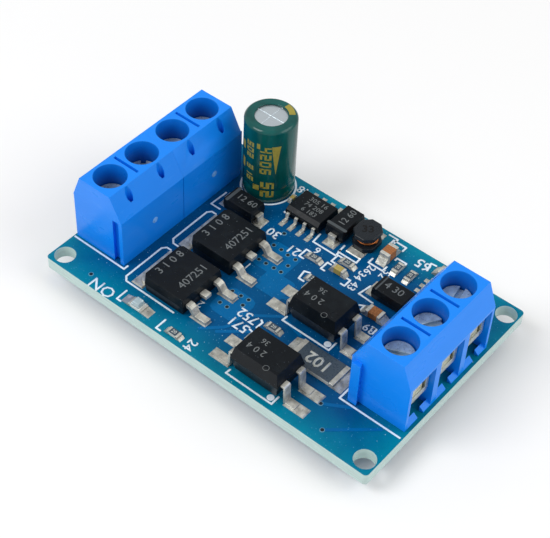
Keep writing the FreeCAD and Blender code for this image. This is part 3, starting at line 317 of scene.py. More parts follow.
def ring(x, y, height, radius, width, points):
    """A flat ring, as wide as given from its rim inwards."""
    hoop = disc(x, y, height, radius, points)
    with editing(hoop):
        bpy.ops.mesh.inset(thickness=width, depth=0)
        bpy.ops.mesh.delete(type="FACE")
    return hoop


def keep_facing(piece, angle, half):
    """Leaves only the faces within some degrees of an angle about the piece's upright axis."""
    facing = Vector((math.cos(math.radians(angle)), math.sin(math.radians(angle))))
    with editing(piece):
        bpy.ops.mesh.select_all(action="DESELECT")
    for face in piece.data.polygons:
        face.select = face.center.xy.angle(facing) > math.radians(half)
    bpy.ops.object.mode_set(mode="EDIT")
    bpy.ops.mesh.delete(type="FACE")
    bpy.ops.object.mode_set(mode="OBJECT")
    return piece


def plate(low, high, corner, height):
    """A flat plate with its corners cut off, between two corners in millimetres."""
    deselect()
    centre = (Vector(low) + Vector(high)) / 2 * MM
    size = (Vector(high) - Vector(low)) * MM
    bpy.ops.mesh.primitive_plane_add(size=1, location=(centre.x, centre.y, height))
    flat = bpy.context.object
    flat.scale = (size.x, size.y, 1)
    with editing(settle(flat)):
        bpy.ops.mesh.bevel(offset=corner * MM, segments=2, affect="VERTICES")
    return flat


def thicken(piece, thickness):
    """Gives a flat piece its thickness upwards."""
    return shape(piece, "SOLIDIFY", thickness=thickness, offset=1.0)


def finish_piece(piece, finish, body="module"):
    """Gives a new piece its finish and lets it move with a body."""
    piece.data.materials.clear()
    piece.data.materials.append(finish)
    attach(piece, body)
    return piece


# ---------------------------------------------------------------- finishes


class Finish:
    """A finish being mixed: its surface shader and the patterns that feed it, in millimetres."""

    def __init__(self, name, metallic=0.0, specular=0.5):
        self.material = bpy.data.materials.new(name)
        self.material.use_nodes = True
        self.nodes = self.material.node_tree.nodes
        self.links = self.material.node_tree.links
        self.surface = self.nodes["Principled BSDF"]
        self.set("Metallic", metallic)
        self.set("Specular IOR Level", specular)
        place = self.add("ShaderNodeTexCoord", {})
        self.spot = place.outputs["Object"]
        self.spot = self.stretched(1 / MM, 1 / MM, 1 / MM)

    def set(self, socket, value):
        """Sets one of the shader's own values."""
        self.surface.inputs[socket].default_value = value

    def add(self, kind, sources, **values):
        """A new node, fed by sources and with values on its inputs."""
        node = self.nodes.new(kind)
        for name, value in values.items():
            node.inputs[name.replace("_", " ").title()].default_value = value
        for name, source in sources.items():
            self.links.new(source, node.inputs[name])
        return node

    def stretched(self, x, y, z):
        """The place, squeezed along each axis, for brushed and layered patterns."""
        squeeze = self.add("ShaderNodeMapping", {"Vector": self.spot}, scale=(x, y, z))
        return squeeze.outputs["Vector"]

    def noise(self, size, detail=2.0, place=None):
        """Soft clouds about as large as the given size."""
        spot = {"Vector": place or self.spot}
        return self.add("ShaderNodeTexNoise", spot, scale=1 / size, detail=detail).outputs["Fac"]

    def specks(self, spacing, radius, share):
        """Small round specks, of which only a share show."""
        cells = self.add("ShaderNodeTexVoronoi", {"Vector": self.spot}, scale=1 / spacing)
        tone = self.add("ShaderNodeSeparateColor", {"Color": cells.outputs["Color"]})
        dot = self.level(cells.outputs["Distance"], radius / spacing, radius / spacing * 0.5)
        shown = self.level(tone.outputs["Red"], 1 - share, 1 - share + 0.02)
        return self.sum("MULTIPLY", dot, shown)

    def level(self, value, low, high, from_value=0.0, to_value=1.0):
        """A value stretched so that low gives the first and high the second, and clipped there."""
        stretch = self.add("ShaderNodeMapRange", {"Value": value}, from_min=low, from_max=high,
                           to_min=from_value, to_max=to_value)
        return stretch.outputs["Result"]

    def sum(self, operation, first, second=None):
        """Two patterns put together by arithmetic."""
        node = self.nodes.new("ShaderNodeMath")
        node.operation = operation
        self.links.new(first, node.inputs[0])
        if isinstance(second, float):
            node.inputs[1].default_value = second
        elif second is not None:
            self.links.new(second, node.inputs[1])
        return node.outputs["Value"]

    def blend(self, share, first, second):
        """One colour fading to another by a pattern."""
        node = self.nodes.new("ShaderNodeMix")
        node.data_type = "RGBA"
        self.links.new(share, node.inputs["Factor"])
        for socket, colour in ((node.inputs[6], first), (node.inputs[7], second)):
            if isinstance(colour, bpy.types.NodeSocket):
                self.links.new(colour, socket)
            else:
                socket.default_value = colour
        return node.outputs[2]

    def colour(self, pattern):
        """Feeds the surface's colour."""
        self.links.new(pattern, self.surface.inputs["Base Color"])

    def polish(self, pattern, smooth, rough):
        """Lets the roughness follow a pattern."""
        roughness = self.level(pattern, 0.25, 0.75, smooth, rough)
        self.links.new(roughness, self.surface.inputs["Roughness"])

    def bump(self, pattern, depth):
        """Raises the surface by a pattern, on top of any earlier relief."""
        relief = self.add("ShaderNodeBump", {"Height": pattern}, distance=depth * MM)
        normal = self.surface.inputs["Normal"]
        if normal.is_linked:
            self.links.new(normal.links[0].from_socket, relief.inputs["Normal"])
        self.links.new(relief.outputs["Normal"], normal)

    def axes(self):
        """The place along X, Y and Z, in millimetres."""
        parts = self.add("ShaderNodeSeparateXYZ", {"Vector": self.spot})
        return parts.outputs["X"], parts.outputs["Y"], parts.outputs["Z"]

    def facing_up(self):
        """One where the surface faces up or down, and nothing on upright faces."""
        geometry = self.add("ShaderNodeNewGeometry", {})
        parts = self.add("ShaderNodeSeparateXYZ", {"Vector": geometry.outputs["Normal"]})
        return self.level(self.sum("ABSOLUTE", parts.outputs["Z"]), 0.4, 0.6)


def dimmed(colour, share):
    """A colour at part of its brightness."""
    return (*[level * share for level in colour[:3]], 1.0)


def grained(name, size, detail, tones, smooth, rough, depth=0.0, specular=0.5):
    """A finish of two tones in a grain, which its roughness and any relief follow."""
    finish = Finish(name, specular=specular)
    grain = finish.noise(size, detail)
    finish.colour(finish.blend(grain, *tones))
    finish.polish(grain, smooth, rough)
    if depth > 0:
        finish.bump(grain, depth)
    return finish.material


def masked_laminate(look):
    """Blue mask, greener and paler near the rim, with dust on it and sawn laminate at the edge."""
    finish = Finish("masked_laminate", specular=0.08)
    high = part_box("circuit_board")[1]
    x, y = finish.axes()[:2]
    along = finish.level(finish.sum("ABSOLUTE", x), high.x / MM * 0.72, high.x / MM)
    across = finish.level(finish.sum("ABSOLUTE", y), high.y / MM * 0.66, high.y / MM)
    rim = finish.sum("MAXIMUM", along, across)
    clouds = finish.noise(3.5, 3)
    mask = finish.blend(rim, tuple(look.mask), tuple(look.rim))
    mask = finish.blend(finish.level(clouds, 0.35, 0.75, 0.0, 0.35), mask, dimmed(look.mask, 0.6))
    mask = finish.blend(finish.specks(0.36, 0.055, 0.6), mask, paint(84, 158, 198))
    mask = finish.blend(finish.specks(0.85, 0.062, 0.5), mask, paint(170, 212, 232))
    fibres = finish.noise(0.5, 3, finish.stretched(0.25, 0.25, 5.0))
    sawn = finish.blend(fibres, tuple(look.laminate), dimmed(look.laminate, 0.6))
    finish.colour(finish.blend(finish.facing_up(), sawn, mask))
    finish.polish(finish.noise(1.2, 3), 0.2, 0.36)
    finish.bump(finish.noise(0.5, 2), 0.004)
    finish.bump(finish.specks(0.5, 0.05, 0.55), 0.006)
    return finish.material


def masked_copper(look):
    """Mask over copper: a lighter blue with a soft metallic depth."""
    finish = Finish("masked_copper", specular=0.1)
    clouds = finish.noise(2.2, 3)
    mask = finish.blend(clouds, tuple(look.copper), dimmed(look.copper, 0.72))
    mask = finish.blend(finish.specks(0.36, 0.055, 0.6), mask, paint(84, 158, 198))
    finish.colour(mask)
    finish.polish(finish.noise(0.9, 2), 0.2, 0.34)
    finish.bump(finish.noise(0.35, 2), 0.004)
    return finish.material


def screen_ink(name, colour, roughness=0.5):
    """Printed ink, slightly uneven where it thins out."""
    finish = Finish(name, specular=0.3)
    worn = finish.level(finish.noise(0.35, 3), 0.45, 0.8)
    finish.colour(finish.blend(worn, tuple(colour), dimmed(colour, 0.78)))
    finish.polish(finish.noise(0.3, 2), roughness, roughness + 0.15)
    finish.bump(finish.noise(0.12, 2), 0.002)
    return finish.material


def painted_well_shade(finish, look, pole):
    """How much painted shade a spot gets in the screw wells, which stand a pitch apart from a given
    pole, more the deeper it lies.
    """
    x, y, z = finish.axes()
    across = finish.sum("SUBTRACT", x, pole.x / MM)
    pitches = finish.sum("DIVIDE", finish.sum("SUBTRACT", y, pole.y / MM), look.pitch / MM)
    beside = finish.sum("SUBTRACT", pitches, finish.sum("ROUND", pitches))
    along = finish.sum("MULTIPLY", beside, look.pitch / MM)
    square = finish.sum("ADD", finish.sum("POWER", across, 2.0), finish.sum("POWER", along, 2.0))
    reach = look.well_radius / MM
    inside = finish.level(square, (reach + 0.06) ** 2, (reach + 0.02) ** 2)
    crown = pole.z / MM
    # The painted shade grows from 0.3 at the wells' mouths to 0.85 some 2.5 mm down.
    return finish.sum("MULTIPLY", inside, finish.level(z, crown, crown - 2.5, 0.3, 0.85))


def moulded_blue(look, name, pole):
    """Glossy moulded plastic with flow clouds and a fine grain, and painted shade that deepens down
    the wells of its row.
    """
    finish = Finish(name, specular=0.32)
    flow = finish.noise(5.0, 3, finish.stretched(1.0, 0.5, 1.4))
    plastic = finish.blend(flow, tuple(look.plastic), dimmed(look.plastic, 0.88))
    wear = finish.noise(1.4, 5, finish.stretched(0.5, 0.5, 3.0))
    scuffs = finish.level(wear, 0.62, 0.8, 0.0, 0.25)
    plastic = finish.blend(scuffs, plastic, paint(90, 165, 250))
    # Painted shade: the plastic fades towards the well colour inside the screw wells.
    finish.colour(finish.blend(painted_well_shade(finish, look, pole), plastic, tuple(look.well)))
    finish.polish(flow, 0.24, 0.36)
    finish.bump(finish.noise(0.1, 2), 0.0016)
    finish.bump(finish.noise(2.5, 2), 0.012)
    return finish.material


def plated_metal(name, colour, smooth, rough, grain, depth, metallic=1.0, stain=0.72):
    """Plated metal with cloudy staining, dark spots and fine pits."""
    finish = Finish(name, metallic=metallic)
    clouds = finish.level(finish.noise(0.8, 4), 0.35, 0.7)
    plating = finish.blend(clouds, tuple(colour), dimmed(colour, stain))
    finish.colour(finish.blend(finish.specks(0.3, 0.05, 0.3), plating, dimmed(colour, 0.3)))
    finish.polish(finish.noise(0.35, 3), smooth, rough)
    finish.bump(finish.noise(grain, 3), depth)
    return finish.material


def plain_tin(name):
    """Tin on wires and feet."""
    return plated_metal(name, paint(196, 196, 188), 0.26, 0.44, 0.14, 0.006)


def brushed_aluminium(look):
    """The can's vent disc, drawn and slightly brushed."""
    finish = Finish("brushed_aluminium", metallic=0.9)
    streaks = finish.noise(0.3, 4, finish.stretched(0.25, 2.0, 1.0))
    finish.colour(finish.blend(streaks, tuple(look.can), dimmed(look.can, 0.86)))
    finish.polish(streaks, 0.3, 0.46)
    finish.bump(streaks, 0.004)
    return finish.material


def moulding_compound(look):
    """Filled epoxy, matt with a fine sparkle and lighter grain."""
    finish = Finish("moulding_compound", specular=0.16)
    grain = finish.noise(0.09, 3)
    filler = finish.level(grain, 0.35, 0.7)
    body = finish.blend(filler, dimmed(look.body, 0.75), dimmed(look.body, 1.3))
    dust = finish.level(finish.noise(1.6, 3), 0.5, 0.75, 0.0, 0.4)
    body = finish.blend(dust, body, paint(30, 38, 43))
    body = finish.blend(finish.specks(0.3, 0.028, 0.45), body, paint(130, 142, 152))
    finish.colour(finish.blend(finish.specks(1.1, 0.05, 0.4), body, paint(118, 130, 138)))
    finish.polish(finish.noise(0.6, 3), 0.28, 0.42)
    finish.bump(grain, 0.005)
    return finish.material


def sintered_ferrite(look):
    """Sintered ferrite under a thin grey coat."""
    tones = (dimmed(look.ferrite, 0.65), dimmed(look.ferrite, 1.35))
    return grained("sintered_ferrite", 0.14, 4, tones, 0.22, 0.4, 0.008, 0.28)


def enamelled_wire(look):
    """Copper wire under clear enamel."""
    finish = Finish("enamelled_wire", metallic=0.45)
    clouds = finish.noise(0.6, 3)
    finish.colour(finish.blend(clouds, tuple(look.enamel), dimmed(look.enamel, 0.6)))
    finish.polish(clouds, 0.2, 0.34)
    finish.bump(finish.noise(0.15, 2), 0.004)
    return finish.material


def shrunk_sleeve(look):
    """Glossy shrunk film, darker in upright bands where it was drawn tight."""
    finish = Finish("shrunk_sleeve", specular=0.36)
    bands = finish.noise(1.6, 3, finish.stretched(1.0, 1.0, 0.12))
    clouds = finish.noise(3.0, 2)
    film = finish.blend(finish.level(bands, 0.35, 0.7), tuple(look.sleeve), tuple(look.sleeve_deep))
    patches = finish.level(clouds, 0.4, 0.8, 0.0, 0.4)
    finish.colour(finish.blend(patches, film, dimmed(look.sleeve, 1.3)))
    finish.polish(clouds, 0.14, 0.24)
    finish.bump(bands, 0.01)
    finish.bump(finish.noise(0.7, 2), 0.004)
    return finish.material


def soft_rubber():
    """The capacitor's rubber plug."""
    tones = (paint(24, 24, 26), paint(44, 44, 46))
    return grained("soft_rubber", 0.2, 3, tones, 0.6, 0.8, 0.01, 0.3)


def fired_glass():
    """The black glass over a chip resistor, white ceramic showing at its sides."""
    finish = Finish("fired_glass", specular=0.5)
    grain = finish.noise(0.25, 3)
    glass = finish.blend(grain, paint(44, 58, 70), paint(68, 86, 100))
    ceramic = finish.blend(grain, paint(214, 214, 206), paint(180, 182, 176))
    finish.colour(finish.blend(finish.facing_up(), ceramic, glass))
    finish.polish(grain, 0.22, 0.4)
    finish.bump(finish.noise(0.18, 3), 0.006)
    return finish.material


def fired_ceramic(name, light, dark, paler=None, border=0.0):
    """Fired ceramic with a sandy grain. It may be paler where X is below a border."""
    finish = Finish(name, specular=0.35)
    grain = finish.level(finish.noise(0.16, 4), 0.3, 0.7)
    fired = finish.blend(grain, light, dark)
    if paler is not None:
        left = finish.level(finish.axes()[0], border + 0.2, border - 0.2)
        fired = finish.blend(left, fired, finish.blend(grain, paler, dimmed(paler, 0.7)))
    finish.colour(fired)
    finish.polish(grain, 0.45, 0.65)
    finish.bump(grain, 0.006)
    return finish.material


def clear_resin():
    """The indicator's clear lens with a cold milky tint."""
    finish = Finish("clear_resin", specular=0.5)
    milk = finish.noise(0.35, 3)
    finish.colour(finish.blend(milk, paint(238, 248, 250), paint(176, 218, 232)))
    finish.polish(milk, 0.08, 0.2)
    finish.set("Transmission Weight", 0.45)
    finish.set("IOR", 1.5)
    finish.bump(finish.noise(0.3, 2), 0.006)
    return finish.material


# ---------------------------------------------------------------- dressing the solids


def coat(node, finish, edge):
    """Gives a solid its finish and breaks its edges."""
    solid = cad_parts[node]
    solid.data.materials.clear()
    solid.data.materials.append(finish)
    if edge > 0:
        weld = solid.modifiers.new("weld", "WELD")
        weld.merge_threshold = 0.0005 * MM
        flatten = solid.modifiers.new("flatten", "DECIMATE")
        flatten.decimate_type = "DISSOLVE"
        flatten.angle_limit = math.radians(1)
        bevel = solid.modifiers.new("edges", "BEVEL")
        bevel.width = edge
        bevel.segments = 2
        bevel.limit_method = "ANGLE"
        bevel.angle_limit = math.radians(32)
        bevel.harden_normals = True
    return solid


def nodes_named(*ends):
    """The nodes whose names end in one of the given words."""
    return [name for name in sorted(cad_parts) if name.endswith(ends)]


# ---------------------------------------------------------------- operators


class ModuleStep:
    """What all the steps share."""

    bl_options = {"REGISTER", "UNDO"}


class MODULE_OT_board(ModuleStep, bpy.types.Operator):
    """Finish the board and lay its masked copper and vias"""

    bl_idname = "module.board"
    bl_label = "Board"

    # Copper areas as lowest corner, highest corner and cut corner, in millimetres.
    copper_areas = (
        ((-5.1, 0.2), (-0.7, 4.75), 0.7),
        ((-2.6, -2.4), (1.3, 0.9), 0.5),
        ((-4.3, -8.2), (-0.2, -4.0), 0.9),
    )
    # Tracks, corner by corner, in millimetres.
    tracks = (
        ((15.95, -13.0), (20.5, -8.95)),
        ((13.7, -10.42), (16.6, -8.65)),
        ((-2.7, -11.1), (-0.8, -9.2), (-0.3, -8.2)),
        ((-0.2, -6.4), (3.0, -3.8), (6.2, -4.6)),
        ((-1.0, -10.2), (1.6, -7.9), (4.6, -7.7)),
        ((14.1, -4.4), (15.0, -5.3)),
        ((0.4, -2.2), (2.2, -1.0)),
        ((14.4, 1.6), (12.9, 3.2), (12.6, 4.4)),
    )
    # Vias, by their middles in millimetres.
    vias = (
        (-4.51, 1.1), (-3.49, 1.14), (-2.36, 1.19), (-1.36, 1.23), (-1.37, 2.51), (-1.34, 3.83),
        (-2.44, 3.81), (-3.55, 3.96), (-4.66, 3.95), (-3.59, -4.6), (-2.4, -4.5), (-1.36, -4.4),
        (-3.51, -6.79), (-2.49, -6.78), (-1.34, -5.44), (-4.95, 6.19), (-17.18, -13.2),
        (15.95, -13.0), (13.7, -10.42),
    )

    def execute(self, context):
        look = context.scene.board_look
        base = top("circuit_board")
        coat("circuit_board", masked_laminate(look), 0.03 * MM)
        copper = masked_copper(look)
        flats = [plate(low, high, corner, base + step * HAIR)
                 for step, (low, high, corner) in enumerate(self.copper_areas, 2)]
        for track in self.tracks:
            flats += strokes(track, look.trace_width, base)
        pour = thicken(join("copper_under_mask", flats), look.copper_thickness)
        finish_piece(pour, copper)
        first = self.model_via(look, base + look.copper_thickness * 0.5)
        rings = [copy_to(first, (x * MM, y * MM, 0)) for x, y in self.vias]
        bpy.data.objects.remove(first)
        field = join("vias", rings)
        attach(field, "module")
        return {"FINISHED"}

    def model_via(self, look, height):
        """One via: a low dished ring under the mask with a dark hole in it, the hole's darkness
        painted shade.
        """
        radius = look.via_radius
        via = disc(0, 0, height, radius, 16)
        with editing(via):
            bpy.ops.mesh.inset(thickness=radius * 0.12, depth=look.copper_thickness)
            bpy.ops.mesh.inset(thickness=radius * 0.18, depth=0)
            bpy.ops.mesh.inset(thickness=radius * 0.06, depth=-look.copper_thickness * 0.15)
        tones = (paint(60, 120, 150), paint(110, 160, 180))
        via.data.materials.append(grained("via_ring", 0.3, 2, tones, 0.25, 0.4, specular=0.35))
        # Painted shade: the near-black disc stands for the shade down the via's hole, which is
        # barely dipped.
        tones = (paint(3, 10, 20), paint(20, 36, 50))
        via.data.materials.append(grained("via_hole_shade", 0.1, 2, tones, 0.4, 0.6, specular=0.3))
        for face in via.data.polygons:
            if face.center.xy.length < radius * 0.7:
                face.material_index = 1
        return via


class MODULE_OT_print(ModuleStep, bpy.types.Operator):
    """Print the white lines and numbers on the board"""

    bl_idname = "module.print"
    bl_label = "Board print"

    # Lines round the parts, corner by corner, in millimetres.
    lines = (
        ((-6.37, -11.33), (-13.5, -11.33), (-14.0, -10.8), (-14.0, -5.0), (-13.6, -4.5),
         (-13.0, -4.5)),
        ((-11.9, -3.52), (-13.5, -3.52), (-14.0, -3.0), (-14.0, 2.85), (-13.6, 3.3), (-13.0, 3.3)),
        ((-22.7, -10.2), (-14.95, -10.2), (-14.95, -9.6)),
        ((14.75, -6.4), (14.75, -8.55), (22.6, -8.55)),
        ((-14.45, 6.8), (-14.55, 4.24), (-13.2, 4.24)),
        ((-1.75, 8.9), (-1.6, 7.4), (1.75, 7.4), (1.6, 8.4)),
        ((1.53, 9.3), (1.6, 8.05), (4.2, 8.05), (4.1, 9.2)),
        ((4.4, 14.2), (5.6, 14.2), (5.6, 13.5)),
        ((7.6, 6.29), (7.3, 4.5), (9.3, 4.4)),
        ((1.2, 3.33), (0.55, 3.1), (0.75, 1.85), (1.45, 1.85)),
        ((3.4, -3.5), (3.35, -4.2), (9.85, -4.2), (9.85, -2.9)),
        ((8.4, 3.2), (8.9, 3.5), (8.9, 2.6)),
        ((3.6, -13.3), (3.55, -13.9), (9.85, -13.9), (9.85, -12.7)),
        ((11.4, 1.6), (12.0, 1.55), (12.0, 0.8)),
        ((11.38, 13.77), (10.72, 13.7), (11.0, 12.5)),
        ((-12.45, -12.4), (-12.45, -13.95), (-11.9, -13.95)),
        ((-6.3, -12.7), (-6.3, -14.2), (-5.7, -14.2)),
        ((1.65, -5.75), (1.95, -5.95), (1.9, -6.9)),
        ((1.55, -7.6), (2.1, -7.7), (2.1, -8.5)),
    )
    # Brackets round the small parts: middle, turn in degrees, reach, half width and return.
    brackets = (
        (0.2, 5.25, 180, 1.6, 0.68, 0.6),
        (3.61, 7.0, 180, 1.72, 0.62, 0.6), (3.6, 5.3, 180, 1.9, 0.62, 0.5),
        (3.6, 4.9, 0, 1.75, 0.55, 0.5), (6.2, 11.4, 270, 2.35, 1.0, 0.8),
        (6.2, 11.4, 90, 2.4, 0.9, 0.7), (7.95, 11.0, 90, 0.75, 0.65, 0.35),
        (2.3, 2.57, 0, 1.7, 0.6, 0.5), (12.2, 13.1, 0, 1.6, 0.8, 0.5),
    )
    # Part numbers: what they read, where, their turn in degrees and their size against the usual.
    numbers = (
        ("21", -2.45, 4.85, 180, 1.15), ("34", 5.7, 6.75, 270, 0.95), ("26", 5.95, 8.2, 270, 0.95),
        ("43", 6.05, 4.95, 270, 0.95), ("52", 7.7, 8.75, 270, 0.95), ("65", 10.15, 12.95, 180, 1.3),
        ("48", -7.75, 13.25, 180, 1.1), ("752", 0.15, -6.25, 180, 1.2),
        ("571", 0.15, -7.85, 180, 1.2), ("24", -1.9, -13.55, 270, 1.1),
        ("30", -5.9, 5.45, 180, 1.2),
        ("1", -4.8, -0.5, 180, 0.95), ("2", -4.98, -8.4, 180, 0.95), ("39", 11.3, 1.15, 180, 1.0),
        ("6", -0.35, 6.65, 180, 1.0),
    )

    def execute(self, context):
        look = context.scene.print_look
        height = top("circuit_board") + context.scene.board_look.copper_thickness
        flats = []
        for line in self.lines:
            flats += strokes(line, look.line_width, height)
        for x, y, turn, reach, side, ends in self.brackets:
            corners = bracket(x, y, math.radians(turn), reach, side, ends)
            flats += strokes(corners, look.line_width, height)
        for words, x, y, turn, share in self.numbers:
            size = look.number_height * share
            flats.append(lettering(words, x * MM, y * MM, height, size, turn, 0.014))
        size = look.number_height * 1.45
        flats.append(lettering("ON", -14.75 * MM, -13.82 * MM, height, size, 180, 0.008))
        can = middle("capacitor_sleeve")
        flats.append(ring(can.x, can.y, height, look.can_ring, look.line_width, 64))
        for x, y, radius in ((9.25, -3.62, 0.42), (9.25, -13.3, 0.42), (-7.1, 9.0, 0.2)):
            flats.append(disc(x * MM, y * MM, height, radius * MM, 20))
        marks = thicken(join("board_print", flats), look.film)
        finish_piece(marks, screen_ink("white_ink", look.ink))
        return {"FINISHED"}


class MODULE_OT_terminals(ModuleStep, bpy.types.Operator):
    """Finish the terminal housings and add their gate marks"""

    bl_idname = "module.terminals"
    bl_label = "Terminal housings"

    def execute(self, context):
        look = context.scene.terminal_look
        for row in ("power", "signal"):
            screw = middle(row + "_screw_1")
            housings = [node for node in sorted(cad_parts)
                        if node.startswith(row) and "_housing" in node]
            pole = Vector((screw.x, screw.y, top(housings[0])))
            plastic = moulded_blue(look, row + "_housing_blue", pole)
            for node in housings:
                coat(node, plastic, look.plastic_edge)
        marks = []
        for number in (1, 2):
            low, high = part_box("power_terminal_housing_%d" % number)
            height = low.z + look.gate_height
            marks.append(self.model_gate(look, high.x, (low.y + high.y) / 2, height))
        gates = join("gate_marks", marks)
        finish_piece(gates, screen_ink("torn_plastic", paint(120, 178, 244), 0.4))
        return {"FINISHED"}

    def model_gate(self, look, x, y, z):
        """The round scar of the injection: a low rim with a torn stub in the middle."""
        radius = look.gate_radius
        scar = disc(x, y, z, radius, 24, (0, QUARTER, 0))
        with editing(scar):
            for share, depth in ((0.18, 0.03), (0.3, -0.025), (0.12, 0.08), (0.2, -0.03)):
                bpy.ops.mesh.inset(thickness=radius * share, depth=depth * MM)
        return scar


class MODULE_OT_clamps(ModuleStep, bpy.types.Operator):
    """Finish the clamp screws, wire clamps and contacts"""

    bl_idname = "module.clamps"
    bl_label = "Clamps and screws"

    def execute(self, context):
        look = context.scene.terminal_look
        steel = plated_metal("plated_steel", look.screw, 0.22, 0.4, 0.4, 0.005, 0.5, 0.6)
        plating = plated_metal("clamp_plating", look.clamp, 0.24, 0.42, 0.4, 0.003, 1.0, 0.82)
        tin = plated_metal("contact_tin", look.clamp, 0.28, 0.45, 0.4, 0.003)
        for node in sorted(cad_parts):
            if "_screw_" in node:
                coat(node, steel, 0.07 * MM)
            elif "_clamp_" in node:
                coat(node, plating, 0.05 * MM)
            elif "_contact_" in node:
                coat(node, tin, 0.04 * MM)
        return {"FINISHED"}


class MODULE_OT_packages(ModuleStep, bpy.types.Operator):
    """Finish the moulded packages and leads and mark them with plain digits"""

    bl_idname = "module.packages"
    bl_label = "Packages"

    # Digits: the packages, and on each words, offsets from its middle in millimetres, their turn in
    # degrees and their type size.
    digits = (
        (("mosfet_1", "mosfet_2"),
         (("3 1 0 8", -2.0, 0.25, 90, 1.45), ("407251", 1.35, 0.35, 90, 1.45))),
        (("diode_3",), (("12 60", 0.35, 0.1, 0, 1.25),)),
        (("diode_1",), (("12 60", 0.1, 0.3, 90, 1.25),)),
        (("diode_2",), (("4 30", 0.0, 0.1, 0, 1.4),)),
        (("optocoupler_1", "optocoupler_2"),
         (("2 0 4", -1.0, -0.6, 180, 1.2), ("36", -0.9, 0.75, 180, 1.0))),
        (("regulator",), (("305 16", 0.2, 1.0, 0, 0.95), ("74 208", 0.2, 0.05, 0, 0.95),
                          ("6 183", 0.2, -0.9, 0, 0.95))),
    )

    def execute(self, context):
        look = context.scene.package_look
        compound = moulding_compound(look)
        tin = plated_metal("tinned_lead", look.tin, 0.24, 0.42, 0.35, 0.006, 0.45, 0.5)
        for node in nodes_named("_body"):
            if node.startswith(("mosfet", "diode", "opto", "regulator", "six_pin")):
                coat(node, compound, look.body_edge)
        for node in nodes_named("_leads", "_lead_frame"):
            if not node.startswith("capacitor"):
                coat(node, tin, look.lead_edge)
        flats = []
        for packages, marks in self.digits:
            for node in [package + "_body" for package in packages]:
                centre, height = middle(node), top(node) + LIFT
                for words, dx, dy, turn, size in marks:
                    flats.append(lettering(words, centre.x + dx * MM, centre.y + dy * MM, height,
                                           size * MM, turn))
                if node.startswith("opto"):
                    flats.append(ring(centre.x + 1.35 * MM, centre.y - 1.9 * MM, height,
                                      0.36 * MM, 0.05 * MM, 32))
        marks = thicken(join("package_print", flats), FILM)
        finish_piece(marks, screen_ink("laser_mark", look.print, 0.6))
        self.band_diodes()
        return {"FINISHED"}

    def band_diodes(self):
        """The grey bar on the cathode end of each diode."""
        wide, narrow = 0.42 * MM, 0.2 * MM
        place, inset = 0.55 * MM, 0.12 * MM
        bars = []
        for number, upright, width in ((1, True, wide), (2, False, narrow), (3, False, wide)):
            low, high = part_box("diode_%d_body" % number)
            if upright:
                start, end = (low.x + inset, low.y + place), (high.x - inset, low.y + place)
            else:
                start, end = (low.x + place, low.y + inset), (low.x + place, high.y - inset)
            bars.append(stroke(start, end, width, high.z + LIFT))
        bands = thicken(join("diode_bands", bars), FILM)
        finish_piece(bands, screen_ink("band_ink", paint(74, 80, 83), 0.6))


class MODULE_OT_solder(ModuleStep, bpy.types.Operator):
    """Finish the solder on the pads and under the pins"""

    bl_idname = "module.solder"
    bl_label = "Solder"

    def execute(self, context):
        look = context.scene.package_look
        solder = plated_metal("cooled_solder", look.solder, 0.22, 0.46, 0.5, 0.045, 0.4, 0.45)
        coat("solder_joints", solder, 0.05 * MM)
        return {"FINISHED"}


class MODULE_OT_inductor(ModuleStep, bpy.types.Operator):
    """Wind the inductor's wire and finish its core"""

    bl_idname = "module.inductor"
    bl_label = "Inductor"

    def execute(self, context):
        look = context.scene.inductor_look
        coat("inductor_core", sintered_ferrite(look), 0.09 * MM)
        coat("inductor_feet", plain_tin("plated_feet"), 0.02 * MM)
        low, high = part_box("inductor_winding")
        centre = (low + high) / 2
        turns = int((high.z - low.z) / look.wire) - 1
        rise = (high.z - low.z - look.wire) / turns
        layers = []
        for layer in range(2):
            radius = (high.x - low.x) / 2 - look.wire * (0.5 + layer)
            foot = (centre.x, centre.y, low.z + look.wire / 2)
            layers.append(self.wind(look, radius, turns, rise, foot))
        coil = join("inductor_wire", layers)
        finish_piece(coil, enamelled_wire(look))
        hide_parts("inductor_winding")
        number = lettering("33", centre.x, centre.y, top("inductor_core") + LIFT, look.number, 35,
                           0.02)
        thicken(number, FILM)
        number.name = "inductor_number"
        finish_piece(number, screen_ink("dark_ink", paint(4, 4, 5), 0.6))
        return {"FINISHED"}

    def wind(self, look, radius, turns, rise, foot):
        """One layer of wire, wound from a small circle."""
        deselect()
        bpy.ops.mesh.primitive_circle_add(vertices=10, radius=look.wire / 2, fill_type="NOTHING",
                                          location=(radius, 0, 0), rotation=(QUARTER, 0, 0))
        wire = settle(bpy.context.object)
        shape(wire, "SCREW", angle=math.radians(360), steps=40, render_steps=40, iterations=turns,
              screw_offset=rise, axis="Z", use_normal_calculate=True, use_smooth_shade=True)
        with editing(wire):
            bpy.ops.mesh.fill_holes(sides=12)
            bpy.ops.mesh.select_all(action="SELECT")
            bpy.ops.mesh.normals_make_consistent(inside=False)
        wire.location = foot
        return settle(wire)


